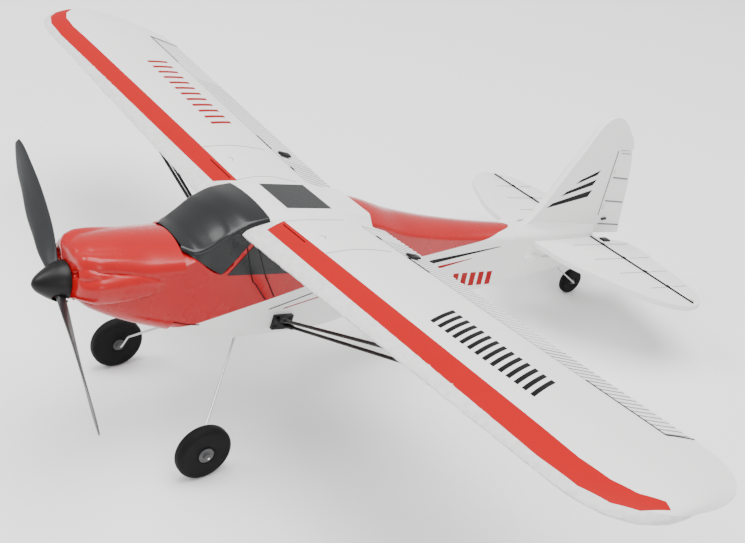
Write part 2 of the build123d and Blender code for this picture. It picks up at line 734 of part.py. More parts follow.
shaft_axis = Axis(thrust.origin, thrust.z_dir)
profile_plane = Plane(origin=thrust.origin, x_dir=thrust.y_dir, z_dir=thrust.x_dir)
shaft_radius = 1.0
gear_face = 3.0
gear_back = -17.4
blade_offset = 3.4
blade_angle = 144.0
prop_hub_radius = 3.8
adapter_radius = 7.6
shaft_back, shaft_length = -22.0, 28.2
motor_length = 20.0
motor_shaft_radius = 0.5

with BuildPart() as spinner:
    with BuildSketch(profile_plane):
        with BuildLine():
            Line((0, 0), (spinner_radius, 0))
            Spline((spinner_radius, 0), (7.6, 6.2), (4.2, 11.6), (0, spinner_length),
                   tangents=[(-0.02, 1), (-1, 0.25)])
            Line((0, spinner_length), (0, 0))
        make_face()
    revolve(axis=shaft_axis)
    with BuildSketch(profile_plane):
        with BuildLine():
            Line((0, -0.1), (spinner_radius - 1.0, -0.1))
            Spline((spinner_radius - 1.0, -0.1), (6.6, 5.6), (3.4, 10.4), (0, 12.4))
            Line((0, 12.4), (0, -0.1))
        make_face()
    revolve(axis=shaft_axis, mode=Mode.SUBTRACT)
    for turn in (blade_angle, blade_angle + 180):
        blade_root = Pos(0, 0, blade_offset) * Rotation(0, 0, turn) * Rotation(0, 90, 0)
        with Locations(thrust.location * blade_root):
            Cylinder(3.9, 24, align=(Align.CENTER, Align.CENTER, Align.MIN), mode=Mode.SUBTRACT)

# Blade stations: radius, chord, thickness, pitch angle
blade_stations = [
    (3.0, 5.6, 3.4, 52.0),
    (9.0, 6.8, 3.0, 46.0),
    (20.0, 10.6, 2.0, 34.0),
    (36.0, 13.0, 1.4, 25.0),
    (52.0, 11.6, 1.1, 18.0),
    (64.0, 8.0, 0.8, 15.0),
    (prop_radius - 0.4, 3.6, 0.5, 13.0),
]


def blade_sections(turn):
    """Twisted sections of one blade; its leading edge turns counter-clockwise seen from ahead."""
    out = thrust.x_dir * math.cos(math.radians(turn)) + thrust.y_dir * math.sin(math.radians(turn))
    ahead = thrust.z_dir.cross(out)
    sections = []
    for radius, blade_chord, thickness, pitch in blade_stations:
        along_chord = ahead * math.cos(math.radians(pitch)) + thrust.z_dir * math.sin(math.radians(pitch))
        centre = thrust.origin + thrust.z_dir * blade_offset + out * radius
        with BuildSketch(Plane(origin=centre, x_dir=along_chord, z_dir=out)) as section:
            Ellipse(blade_chord / 2, thickness / 2)
        sections.append(section.sketch)
    return sections


with BuildPart() as propeller:
    with BuildSketch(thrust_plane(0.4)):
        Circle(prop_hub_radius)
    extrude(amount=6.2)
    loft(blade_sections(blade_angle))
    loft(blade_sections(blade_angle + 180))
    with BuildSketch(thrust_plane(0.3)):
        Circle(shaft_radius)
    extrude(amount=8, mode=Mode.SUBTRACT)

with BuildPart() as prop_adapter:
    with BuildSketch(thrust_plane(-1.8)):
        Circle(adapter_radius)
        Circle(shaft_radius, mode=Mode.SUBTRACT)
    extrude(amount=1.7)
    with BuildSketch(thrust_plane(-4.2)):
        Circle(3.0)
        Circle(shaft_radius, mode=Mode.SUBTRACT)
    extrude(amount=2.4)

with BuildPart() as prop_shaft:
    with BuildSketch(thrust_plane(shaft_back)):
        Circle(shaft_radius)
    extrude(amount=shaft_length)


def gear_outline(teeth, centre, first_tooth):
    """Face of a straight-toothed gear, its teeth thinned a little so that they run free."""
    pitch_radius = gear_module * teeth / 2
    root = pitch_radius - 1.15 * gear_module
    crest = pitch_radius + 0.8 * gear_module
    flank = [
        (root, -0.34), (pitch_radius, -0.24), (crest, -0.1),
        (crest, 0.1), (pitch_radius, 0.24), (root, 0.34),
    ]
    points = []
    for tooth in range(teeth):
        for radius, offset in flank:
            angle = math.radians(first_tooth + tooth * 360 / teeth) + offset / radius
            points.append((centre[0] + radius * math.cos(angle), centre[1] + radius * math.sin(angle)))
    with BuildSketch(thrust_plane(gear_back)) as outline:
        with BuildLine():
            Polyline(*points, close=True)
        make_face()
    return outline.sketch


with BuildPart() as spur_gear:
    extrude(gear_outline(spur_teeth, (0, 0), 90.0), amount=gear_face, dir=thrust.z_dir)
    with BuildSketch(thrust_plane(gear_back + gear_face)):
        Circle(2.6)
    extrude(amount=1.0)
    with BuildSketch(thrust_plane(gear_back)):
        Circle(shaft_radius)
    extrude(amount=gear_face + 1.0, mode=Mode.SUBTRACT)

with BuildPart() as motor_pinion:
    extrude(
        gear_outline(pinion_teeth, (0, gear_centres), -90.0 + 180 / pinion_teeth),
        amount=gear_face,
        dir=thrust.z_dir,
    )
    with BuildSketch(thrust_plane(-25.0)):
        with Locations((0, gear_centres)):
            Circle(motor_shaft_radius)
    extrude(amount=11.0)

bearing_radius = 2.0
front_plate, rear_plate, plate_thickness = -13.2, -20.4, 1.8
with BuildPart() as shaft_bearings:
    for forward in (front_plate, rear_plate):
        with BuildSketch(thrust_plane(forward)):
            Circle(bearing_radius)
            Circle(shaft_radius + 0.05, mode=Mode.SUBTRACT)
        extrude(amount=plate_thickness)

with BuildPart() as gearbox_frame:
    for forward, motor_hole in ((front_plate, 2.4), (rear_plate, 1.4)):
        with BuildSketch(thrust_plane(forward)):
            with Locations((0, 3.4)):
                RectangleRounded(16.4, 16.4, 3.5)
            Circle(bearing_radius, mode=Mode.SUBTRACT)
            with Locations((0, gear_centres)):
                Circle(motor_hole, mode=Mode.SUBTRACT)
        extrude(amount=plate_thickness)
    with BuildSketch(thrust_plane(rear_plate)):
        with Locations((-7.3, 4.0), (7.3, 4.0)):
            Circle(0.9)
    extrude(amount=front_plate - rear_plate)
    with BuildSketch(thrust_plane(rear_plate)):
        with Locations((-6.6, gear_centres), (6.6, gear_centres)):
            Rectangle(2.4, 5.0)
    extrude(amount=-26.5)

with BuildPart() as motor:
    with BuildSketch(thrust_plane(rear_plate)):
        with Locations((0, gear_centres)):
            Circle(motor_radius)
    extrude(amount=-motor_length)
    with BuildSketch(thrust_plane(rear_plate)):
        with Locations((0, gear_centres)):
            Circle(motor_shaft_radius + 0.1)
    extrude(amount=-5.0, mode=Mode.SUBTRACT)

# ---------------------------------------------------------------- inside the nose and cabin

with BuildPart() as firewall:
    with BuildSketch(cross_plane(-35.5)):
        with Locations((0, -36.0)):
            RectangleRounded(32.8, 30.0, 3.0)
        with Locations((0, -43.6)):
            Rectangle(18.4, 11.6, mode=Mode.SUBTRACT)
    extrude(amount=1.8)
    add(gearbox_frame.part, mode=Mode.SUBTRACT)
    add(fuselage.part, mode=Mode.SUBTRACT)

with BuildPart() as battery:
    with Locations((0, -38.0, -43.2)):
        Box(17.0, 44.0, 7.6)
    fillet(battery.edges().filter_by(Axis.Y), 1.4)
    with Locations((0, -15.2, -43.2)):
        Box(8.0, 3.0, 4.0)

with BuildPart() as battery_tray:
    with Locations((0, -35.5, -48.0)):
        Box(18.0, 38.0, 1.2)
    with Locations((-8.8, -26.0, -43.6), (8.8, -26.0, -43.6)):
        Box(0.5, 12.0, 9.0)
    with Locations((0, -17.1, -54.5)):
        Box(12.0, 1.2, 13.6)
    add(fuselage.part, mode=Mode.SUBTRACT)

with BuildPart() as flight_controller:
    with Locations((0, 27.0, -57.0)):
        Box(18.0, 30.0, 1.2)
    with Locations((0, 23.0, -55.6)):
        Box(7.0, 7.0, 1.6)
    with Locations((-5.0, 37.0, -54.9), (5.0, 37.0, -54.9)):
        Box(6.0, 7.0, 3.0)
    with Locations((-7.0, 15.0, -59.1), (7.0, 15.0, -59.1), (-7.0, 39.0, -59.1), (7.0, 39.0, -59.1)):
        Cylinder(1.5, 3.0)
    add(fuselage.part, mode=Mode.SUBTRACT)

# ---------------------------------------------------------------- landing gear and struts

with BuildPart() as gear_mount:
    with Locations(gear_block):
        Box(*gear_block_size)
    add(main_gear_wire.part, mode=Mode.SUBTRACT)


def wheel_at(centre, radius, width, hub_radius):
    """Foam tyre with round shoulders, and its hub hole."""
    shoulder = width * 0.36
    with BuildPart() as tyre:
        with BuildSketch(Plane(origin=centre, x_dir=(0, 0, 1), z_dir=(0, -1, 0))):
            with Locations(((radius + hub_radius) / 2, 0)):
                RectangleRounded(radius - hub_radius, width, shoulder)
            with Locations(((radius / 2 + hub_radius) / 2, 0)):
                Rectangle(radius / 2 - hub_radius, width * 0.86)
        revolve(axis=Axis(centre, (1, 0, 0)))
    return tyre


def hub_at(centre, width, hub_radius, bore):
    """Wheel hub: a bored core with a thin flange on each side of the tyre."""
    with BuildPart(Plane(origin=centre, x_dir=(0, 1, 0), z_dir=(1, 0, 0))) as core:
        Cylinder(hub_radius, width)
        with Locations((0, 0, -width / 2 - 0.2), (0, 0, width / 2 + 0.2)):
            Cylinder(hub_radius - 0.4, 0.4)
        Cylinder(bore, width + 2, mode=Mode.SUBTRACT)
    return core


main_hub_radius, tail_hub_radius = 3.0, 1.8
tyre_left = wheel_at(main_axle, wheel_radius, wheel_width, main_hub_radius)
wheel_hub_left = hub_at(main_axle, wheel_width, main_hub_radius, 0.68)
tail_tyre = wheel_at(tail_axle, tail_wheel_radius, tail_wheel_width, tail_hub_radius)
tail_hub = hub_at(tail_axle, tail_wheel_width, tail_hub_radius, 0.58)

collar_radius, collar_length = 1.7, 1.2
collar_spots = [
    main_axle + Vector(wheel_width / 2 + 1.3, 0, 0),
    main_axle - Vector(wheel_width / 2 + 1.15, 0, 0),
]
with BuildPart() as wheel_collars:
    for spot in collar_spots:
        for side in (-1, 1):
            with Locations((side * spot.X, spot.Y, spot.Z)):
                Cylinder(collar_radius, collar_length, rotation=(0, 90, 0))
    add(main_gear_wire.part, mode=Mode.SUBTRACT)

# V struts from the side brackets out to sockets under the wing
strut_radius = 0.8
socket_size = (4.4, 6.0, 3.2)
bracket_size = (2.0, 11.0, 7.6)
strut_feet = [Vector(21.6, 19.6, -52.4), Vector(21.6, 24.6, -56.2)]
strut_heads = [wing_point(108.0, 0.0, -9.9), wing_point(131.0, 6.5, -9.3)]
with BuildPart() as wing_struts:
    for foot, head in zip(strut_feet, strut_heads):
        for side in (-1, 1):
            low = Vector(side * foot.X, foot.Y, foot.Z)
            high = Vector(side * head.X, head.Y, head.Z)
            add(add_bar(low, high, strut_radius))

with BuildPart() as strut_sockets:
    for head in strut_heads:
        for side in (-1, 1):
            with Locations((side * head.X, head.Y, head.Z + 0.4)):
                Box(*socket_size)
    add(wing_left.part, mode=Mode.SUBTRACT)
    add(mirror(wing_left.part, about=Plane.YZ, mode=Mode.PRIVATE), mode=Mode.SUBTRACT)
    add(wing_struts.part, mode=Mode.SUBTRACT)

with BuildPart() as strut_brackets:
    for side in (-1, 1):
        with Locations((side * 20.9, 21.8, -54.2)):
            Box(*bracket_size)
    add(hull.part, mode=Mode.SUBTRACT)
    add(wing_struts.part, mode=Mode.SUBTRACT)

# ---------------------------------------------------------------- write the pieces
with BuildPart() as side_windows:
    add(side_window.part)
    mirror(side_window.part, about=Plane.YZ)
with BuildPart() as aileron_servos:
    add(aileron_servo_left.part)
    mirror(aileron_servo_left.part, about=Plane.YZ)

with BuildPart() as tail_servos:
    add(elevator_servo.part)
    add(rudder_servo.part)
with BuildPart() as bulkheads:
    add(firewall.part)
    add(servo_tray.part)

single_pieces = {
    "fuselage_left": fuselage_left,
    "fuselage_right": fuselage_right,
    "nose_cowl": nose_cowl,
    "battery_hatch": battery_hatch,
    "windshield": windshield,
    "side_windows": side_windows,
    "roof_window": roof_window,
    "cabin_roof": cabin_roof,
    "wing_spar": wing_spar,
    "aileron_servos": aileron_servos,
    "fin": fin,
    "rudder": rudder_cut,
    "rudder_horn": rudder_horn,
    "stabilizer": stabilizer,
    "elevator": elevator_cut,
    "hinge_rods": hinge_rods,
    "elevator_horn": elevator_horn,
    "tail_servos": tail_servos,
    "elevator_servo_arm": elevator_arm,
    "elevator_push_rod": elevator_push_rod,
    "rudder_servo_arm": rudder_arm,
    "rudder_push_rod": rudder_push_rod,
    "rod_fairings": rod_fairings,
    "spinner": spinner,
    "propeller": propeller,
    "prop_adapter": prop_adapter,
    "prop_shaft": prop_shaft,
    "spur_gear": spur_gear,
    "motor_pinion": motor_pinion,
    "shaft_bearings": shaft_bearings,
    "gearbox_frame": gearbox_frame,
    "motor": motor,
    "bulkheads": bulkheads,
    "battery": battery,
    "battery_tray": battery_tray,
    "flight_controller": flight_controller,
    "gear_mount": gear_mount,
    "main_gear_wire": main_gear_wire,
    "wheel_collars": wheel_collars,
    "tail_gear_wire": tail_gear_wire,
    "tail_tyre": tail_tyre,
    "tail_hub": tail_hub,
    "wing_struts": wing_struts,
    "strut_sockets": strut_sockets,
    "strut_brackets": strut_brackets,
}
paired_pieces = {
    "wing": wing_left,
    "aileron": aileron_left_cut,
    "aileron_horn": aileron_horn_left,
    "aileron_servo_arm": aileron_arm_left,
    "aileron_push_rod": aileron_push_rod_left,
    "tyre": tyre_left,
    "wheel_hub": wheel_hub_left,
}
for label, piece in single_pieces.items():
    save(piece, label)
for stem, piece in paired_pieces.items():
    save_pair(piece, stem)
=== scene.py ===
import math

import bmesh
import bpy
from mathutils import Matrix, Vector, noise


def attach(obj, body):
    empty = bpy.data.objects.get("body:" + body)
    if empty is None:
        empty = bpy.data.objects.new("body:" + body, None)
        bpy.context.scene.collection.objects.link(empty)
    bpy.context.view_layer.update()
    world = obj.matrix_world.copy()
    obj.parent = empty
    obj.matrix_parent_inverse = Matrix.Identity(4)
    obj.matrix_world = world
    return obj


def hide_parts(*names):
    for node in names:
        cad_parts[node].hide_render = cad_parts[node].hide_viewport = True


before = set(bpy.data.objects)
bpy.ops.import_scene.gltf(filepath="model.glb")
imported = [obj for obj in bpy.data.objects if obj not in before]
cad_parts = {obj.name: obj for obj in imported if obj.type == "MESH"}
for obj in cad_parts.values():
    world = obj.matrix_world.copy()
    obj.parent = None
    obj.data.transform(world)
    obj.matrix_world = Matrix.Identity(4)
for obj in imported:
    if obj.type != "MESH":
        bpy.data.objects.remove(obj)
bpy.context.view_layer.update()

# Looks for a small foam aeroplane. Shapes are worked out in millimetres in the level airframe
# frame (+X port, +Y tail, +Z up, zero at the top of the windshield) and then placed on the
# three wheels like the CAD pieces.

# ---------------------------------------------------------------- stance, shared with the CAD
WHEEL_RADIUS = 13.75
TAIL_WHEEL_RADIUS = 8.25
MAIN_AXLE = Vector((48.0, -23.6, -104.3))
TAIL_AXLE = Vector((0.0, 256.5, -52.5))
CENTRE_Y = 84.31
axle_run = TAIL_AXLE.y - MAIN_AXLE.y
axle_rise = TAIL_AXLE.z - MAIN_AXLE.z
STANCE_ANGLE = math.atan2(axle_rise, axle_run) + math.asin(
    (WHEEL_RADIUS - TAIL_WHEEL_RADIUS) / math.hypot(axle_run, axle_rise)
)
TIP = Matrix.Rotation(-STANCE_ANGLE, 4, "X")
LIFT = WHEEL_RADIUS - (TIP @ MAIN_AXLE).z
STANCE = Matrix.Scale(0.001, 4) @ Matrix.Translation((0, -CENTRE_Y, LIFT)) @ TIP
STANCE_TURN = TIP.to_3x3()

# Wing
ROOT_X = 20.0
DIHEDRAL = math.radians(3.45)
SPAN_DIR = Vector((math.cos(DIHEDRAL), 0, math.sin(DIHEDRAL)))
UP_DIR = Vector((-math.sin(DIHEDRAL), 0, math.cos(DIHEDRAL)))
LEADING_Y, TRAILING_Y, HINGE_Y, HINGE_Z = -14.0, 70.0, 51.0, -3.15
THICK_Y = 19.0
TIP_START, TIP_LENGTH, TIP_POWER = 193.0, 37.0, 2.5
AILERON_INNER, AILERON_OUTER = 4.0, 192.4
GROOVE_RADIUS = 1.85
UPPER_WING = [(70, -5.9), (52, -1.5), (38, 1.0), (20, 2.0), (4, 0.2), (-10, -3.8), (-14, -6.8)]
LOWER_WING = [(-14, -6.8), (-11, -8.7), (0, -8.8), (16, -7.0), (40, -5.2), (70, -7.1)]

# Fuselage: y, half width, crown z, drop to the shoulder, keel z, corner radius
HULL = [
    (-38.0, 20.0, -17.2, 5.0, -57.0, 9.0),
    (-33.0, 20.1, -19.6, 0.6, -58.6, 9.0),
    (-19.2, 20.3, -26.5, 0.3, -62.0, 9.0),
    (-4.5, 20.3, -6.0, 0.3, -64.4, 9.0),
    (5.0, 20.3, -6.0, 0.3, -65.4, 9.0),
    (30.0, 19.8, -6.0, 0.3, -64.6, 9.0),
    (61.5, 18.05, -6.0, 0.3, -60.7, 8.0),
    (61.6, 18.0, 1.0, 4.6, -60.6, 8.0),
    (90.0, 16.2, -4.8, 5.5, -57.4, 7.0),
    (125.0, 13.8, -9.4, 5.0, -53.9, 6.0),
    (170.0, 10.8, -12.3, 4.0, -49.4, 5.0),
    (205.0, 8.3, -13.0, 3.0, -44.3, 4.0),
    (243.0, 5.3, -13.8, 1.6, -38.0, 2.6),
    (254.0, 4.3, -14.2, 1.2, -35.4, 2.2),
]
# Lower edge of the red paint along the side: y, z
RED_EDGE = [
    (-38.0, -56.4), (-29.5, -53.8), (35.4, -34.4), (60.0, -29.2),
    (109.0, -23.2), (167.0, -13.8), (196.0, -11.0),
]
# The paint ends at RED_END. The hull's crown steps up behind the cabin roof at ROOF_STEP
RED_END, ROOF_STEP = 195.9, 61.55
# Fillet from the hull up into the fin: where it starts and is full, its rise, its inner and outer x
FILLET_START, FILLET_FULL, FILLET_RISE, FILLET_IN, FILLET_OUT = 184, 204, 3.2, 1.6, 5.6
# Nose, with the same columns as the hull
COWL_FRONT = -81.0
COWL = [
    (COWL_FRONT, 13.5, -22.5, 5.0, -41.5, 5.0),
    (-76.0, 16.8, -20.6, 6.0, -44.6, 6.5),
    (-58.0, 19.2, -18.2, 6.5, -51.4, 8.0),
    (-38.0, 20.0, -17.0, 6.0, -57.0, 9.0),
]
HATCH_FRONT, HATCH_REAR, HATCH_HALF, HATCH_GAP, HINGE_ROOM = -73.0, -42.0, 9.5, 0.3, 0.5
HATCH_PIVOT_Y, HATCH_PIVOT_Z, KNUCKLE_RADIUS, KNUCKLE_CHAMFER = -41.85, -56.9, 1.3, 0.15


# ---------------------------------------------------------------- small helpers
def mix(a, b, share):
    return a + (b - a) * share


def smooth_step(low, high, value):
    share = min(max((value - low) / (high - low), 0.0), 1.0)
    return share * share * (3 - 2 * share)


def line_value(points, at):
    """Height of a broken line through (x, y) points at x = at."""
    if at <= points[0][0]:
        return points[0][1]
    for (x0, y0), (x1, y1) in zip(points, points[1:]):
        if at <= x1:
            return mix(y0, y1, (at - x0) / (x1 - x0))
    return points[-1][1]


def curve_through(points, per_span):
    """Smooth curve through tuples of any length."""
    out = []
    last = len(points) - 1
    for i in range(last):
        p0, p1, p2, p3 = points[max(i - 1, 0)], points[i], points[i + 1], points[min(i + 2, last)]
        for step in range(per_span):
            t = step / per_span
            out.append(tuple(
                0.5 * (2 * b + (c - a) * t + (2 * a - 5 * b + 4 * c - d) * t * t
                       + (3 * b - a - 3 * c + d) * t**3)
                for a, b, c, d in zip(p0, p1, p2, p3)
            ))
    out.append(tuple(points[-1]))
    return out


def resample(path, count):
    """count points evenly spaced along a 2-D or 3-D polyline, both ends included."""
    lengths = [0.0]
    for a, b in zip(path, path[1:]):
        lengths.append(lengths[-1] + math.dist(a, b))
    out = []
    span = 0
    for i in range(count):
        goal = lengths[-1] * i / (count - 1)
        while span < len(path) - 2 and lengths[span + 1] < goal:
            span += 1
        stretch = lengths[span + 1] - lengths[span]
        share = (goal - lengths[span]) / stretch if stretch > 1e-9 else 0.0
        share = min(max(share, 0.0), 1.0)
        out.append(tuple(mix(a, b, share) for a, b in zip(path[span], path[span + 1])))
    return out


def station_value(stations, y):
    """Section numbers at y, on a smooth curve through the stations."""
    last = len(stations) - 1
    i = 0
    while i < last - 1 and stations[i + 1][0] <= y:
        i += 1
    a, b = stations[i], stations[i + 1]
    gap = b[0] - a[0]
    t = min(max((y - a[0]) / gap, 0.0), 1.0)

    def slope(k, col):
        if k == 0 or k == last:
            j = min(k, last - 1)
            return (stations[j + 1][col] - stations[j][col]) / (stations[j + 1][0] - stations[j][0])
        before = (stations[k][col] - stations[k - 1][col]) / (stations[k][0] - stations[k - 1][0])
        after = (stations[k + 1][col] - stations[k][col]) / (stations[k + 1][0] - stations[k][0])
        return 0.0 if before * after <= 0 else 2 * before * after / (before + after)

    out = []
    for col in range(1, len(a)):
        m0, m1 = slope(i, col) * gap, slope(i + 1, col) * gap
        t2, t3 = t * t, t**3
        out.append((2 * t3 - 3 * t2 + 1) * a[col] + (t3 - 2 * t2 + t) * m0
                   + (3 * t2 - 2 * t3) * b[col] + (t3 - t2) * m1)
    return out


CROWN_POINTS, SHOULDER_POINTS, CORNER_POINTS = 24, 8, 12


def half_section(half, crown, drop, keel, corner, shoulder):
    """Half of a fuselage section as (x, z) points from the crown down to the keel."""
    path = []
    for step in range(CROWN_POINTS):
        x = (half - shoulder) * step / (CROWN_POINTS - 1)
        path.append((x, crown - drop * (x / half) ** 2))
    start, knee, end = path[-1], (half, crown - drop), (half, crown - drop - shoulder)
    for step in range(1, SHOULDER_POINTS + 1):
        t = step / SHOULDER_POINTS
        path.append(tuple(
            (1 - t) ** 2 * a + 2 * t * (1 - t) * b + t * t * c for a, b, c in zip(start, knee, end)
        ))
    path.append((half, keel + corner))
    for step in range(1, CORNER_POINTS + 1):
        turn = math.pi / 2 * step / CORNER_POINTS
        path.append((half - corner + corner * math.cos(turn), keel + corner - corner * math.sin(turn)))
    path.append((0.0, keel))
    return path


def link_object(name, data):
    obj = bpy.data.objects.new(name, data)
    bpy.context.scene.collection.objects.link(obj)
    return obj


def mesh_object(name, bm):
    """Object from a bmesh in the scene's own frame, in metres."""
    mesh = bpy.data.meshes.new(name)
    bm.to_mesh(mesh)
    bm.free()
    return link_object(name, mesh)


def make_object(name, bm):
    """Object from a bmesh drawn in the airframe frame, in millimetres."""
    bm.transform(STANCE)
    return mesh_object(name, bm)


def smooth_shade(obj, angle=32):
    for face in obj.data.polygons:
        face.use_smooth = True
    obj.data.set_sharp_from_angle(angle=math.radians(angle))


def grid_bmesh(rows, ring=True, ends=True, split=None):
    """Quads over rows of points. split(row, column) picks the material slot of a face."""
    bm = bmesh.new()
    made = [[bm.verts.new(point) for point in row] for row in rows]
    width = len(rows[0])
    for r, (low, high) in enumerate(zip(made, made[1:])):
        for c in range(width if ring else width - 1):
            d = (c + 1) % width
            face = bm.faces.new((low[c], low[d], high[d], high[c]))
            if split:
                face.material_index = split(r, c)
    if ring and ends:
        bm.faces.new(list(reversed(made[0])))
        bm.faces.new(made[-1])
    bmesh.ops.remove_doubles(bm, verts=bm.verts, dist=2e-4)
    bmesh.ops.dissolve_degenerate(bm, edges=bm.edges, dist=1e-4)
    bmesh.ops.recalc_face_normals(bm, faces=bm.faces)
    return bm


def join_bmesh(target, other):
    """Adds another bmesh's geometry to target."""
    mesh = bpy.data.meshes.new("part")
    other.to_mesh(mesh)
    other.free()
    target.from_mesh(mesh)
    bpy.data.meshes.remove(mesh)


def apply_modifiers(obj):
    bpy.context.view_layer.update()
    graph = bpy.context.evaluated_depsgraph_get()
    mesh = bpy.data.meshes.new_from_object(obj.evaluated_get(graph))
    obj.modifiers.clear()
    obj.data = mesh


def thicken(obj, millimetres):
    """Gives a sheet thickness on its inner side."""
    shell = obj.modifiers.new("thickness", "SOLIDIFY")
    shell.thickness = millimetres / 1000
    shell.offset = -1
    apply_modifiers(obj)


def carve(obj, cutters, operation="DIFFERENCE"):
    """Cuts an object with the script's own boxes and removes the boxes."""
    for cutter in cutters:
        cut = obj.modifiers.new("cut", "BOOLEAN")
        cut.operation = operation
        cut.solver = "EXACT"
        cut.object = cutter
        apply_modifiers(obj)
        bpy.data.objects.remove(cutter)


def cutter_box(centre, size, frame_matrix=Matrix.Identity(4)):
    """Box to carve with. A mirroring matrix turns it inside out, so its normals are made again."""
    bm = bmesh.new()
    bmesh.ops.create_cube(bm, size=1.0)
    bm.transform(frame_matrix @ Matrix.Translation(centre) @ Matrix.Diagonal((*size, 1)))
    bmesh.ops.recalc_face_normals(bm, faces=bm.faces)
    return make_object("cutter", bm)


def circle_points(centre, across, other, radius, sides):
    turns = (2 * math.pi * k / sides for k in range(sides))
    return [centre + (across * math.cos(a) + other * math.sin(a)) * radius for a in turns]


def tube_bmesh(points, radius, sides=10):
    """Round tube along points, with closed ends. radius may be a list, one for each point."""
    radii = radius if isinstance(radius, (list, tuple)) else [radius] * len(points)
    points = [Vector(p) for p in points]
    rows = []
    across = None
    for i, point in enumerate(points):
        ahead = (points[min(i + 1, len(points) - 1)] - points[max(i - 1, 0)]).normalized()
        if across is None:
            across = ahead.orthogonal().normalized()
        across = (across - ahead * across.dot(ahead)).normalized()
        rows.append(circle_points(point, across, ahead.cross(across), radii[i], sides))
    return grid_bmesh(rows)


def lathe_bmesh(profile, centre, axis, sides=72):
    """Turned shape: profile is (along the axis, radius) points, closed where the radius is zero."""
    axis = Vector(axis).normalized()
    across = axis.orthogonal().normalized()
    other = axis.cross(across)
    rows = [
        circle_points(Vector(centre) + axis * along, across, other, radius, sides)
        for along, radius in profile
    ]
    return grid_bmesh(rows, ends=False)


def mirrored(bm):
    """Starboard copy of a port bmesh."""
    twin = bm.copy()
    twin.transform(Matrix.Diagonal((-1, 1, 1, 1)))
    bmesh.ops.reverse_faces(twin, faces=twin.faces)
    return twin


def joined(bms):
    """One bmesh made of several, which are used up."""
    whole = bmesh.new()
    for bm in bms:
        join_bmesh(whole, bm)
    return whole


def both_sides(bms):
    """One bmesh holding port parts and their starboard copies."""
    return joined([part for bm in bms for part in (bm, mirrored(bm))])


def paint(obj, materials):
    """Adds material slots. This comes before any carving, which would drop the faces' slot numbers."""
    for material in materials:
        obj.data.materials.append(material)


def add_piece(obj, body, material=None, nodes=(), angle=32):
    """Shades a finished piece, paints it when a material is given and hangs it on its body."""
    if material:
        paint(obj, [material])
    smooth_shade(obj, angle)
    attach(obj, body)
    if nodes:
        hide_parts(*nodes)
    return obj


def add_pair(name, port_parts, body, material, nodes=()):
    """Adds port parts and their starboard copies as one piece."""
    return add_piece(make_object(name, both_sides(port_parts)), body, material, nodes)


# ---------------------------------------------------------------- materials
def surface_material(
    name, color, roughness, metallic=0.0, coat=0.0, bump=0.1, bump_mm=0.05, grain_mm=1.5, shade=0.9,
    patch_mm=18.0, cells=False, specular=0.5,
):
    """Principled material with a patchy tone, a roughness that varies with it and a fine grain."""
    material = bpy.data.materials.new(name)
    material.use_nodes = True
    nodes, links = material.node_tree.nodes, material.node_tree.links
    shader = nodes["Principled BSDF"]
    place = nodes.new("ShaderNodeTexCoord")
    patches = nodes.new("ShaderNodeTexNoise")
    patches.inputs["Scale"].default_value = 1000 / patch_mm
    patches.inputs["Detail"].default_value = 5.0
    links.new(place.outputs["Object"], patches.inputs["Vector"])
    tone = nodes.new("ShaderNodeMix")
    tone.data_type = "RGBA"
    tone.inputs[6].default_value = (*[c * shade for c in color], 1)
    tone.inputs[7].default_value = (*color, 1)
    links.new(patches.outputs["Fac"], tone.inputs["Factor"])
    links.new(tone.outputs[2], shader.inputs["Base Color"])
    grain = nodes.new("ShaderNodeTexVoronoi" if cells else "ShaderNodeTexNoise")
    grain.inputs["Scale"].default_value = 1000 / grain_mm
    links.new(place.outputs["Object"], grain.inputs["Vector"])
    height = nodes.new("ShaderNodeBump")
    height.inputs["Strength"].default_value = bump
    height.inputs["Distance"].default_value = bump_mm / 1000
    links.new(grain.outputs["Distance" if cells else "Fac"], height.inputs["Height"])
    links.new(height.outputs["Normal"], shader.inputs["Normal"])
    sheen = nodes.new("ShaderNodeMapRange")
    sheen.inputs["To Min"].default_value = max(roughness - 0.05, 0.02)
    sheen.inputs["To Max"].default_value = min(roughness + 0.07, 1.0)
    links.new(patches.outputs["Fac"], sheen.inputs["Value"])
    links.new(sheen.outputs["Result"], shader.inputs["Roughness"])
    shader.inputs["Metallic"].default_value = metallic
    shader.inputs["Specular IOR Level"].default_value = specular
    shader.inputs["Coat Weight"].default_value = coat
    shader.inputs["Coat Roughness"].default_value = 0.12
    return material


WHITE_FOAM = surface_material("white_foam", (0.86, 0.86, 0.85), 0.42, bump=0.25, bump_mm=0.06, grain_mm=1.8,
                              shade=0.97, cells=True)
# Leading-edge foam: real crinkle bumps, plus dark patches at the crinkle's scale that are painted shade in
# its dimples.
EDGE_FOAM_AND_SHADE = surface_material("crinkled_foam_and_dimple_shade", (0.84, 0.84, 0.83), 0.5, bump=1.0, bump_mm=0.7, grain_mm=3.4,
                             shade=0.66, patch_mm=2.8)
RIB_FOAM = surface_material("ribbed_foam", (0.84, 0.84, 0.84), 0.5, bump=0.2, grain_mm=1.2, shade=0.95)
# Dark grey painted shade: the aileron valleys, the steps between the rudder's panels and the rudder's hinge
# gap.
RIB_PAINTED_SHADE = surface_material("rib_painted_shade", (0.16, 0.16, 0.17), 0.6, bump=0.2, grain_mm=1.2, shade=0.94)
RED_GLOSS = surface_material("red_gloss", (0.42, 0.001, 0.003), 0.26, coat=0.25, bump=0.03, grain_mm=2.4,
                             specular=0.3)
RED_FILM = surface_material("red_film", (0.42, 0.001, 0.003), 0.45, bump=0.1, bump_mm=0.04, grain_mm=2.0,
                            shade=0.92, specular=0.12)
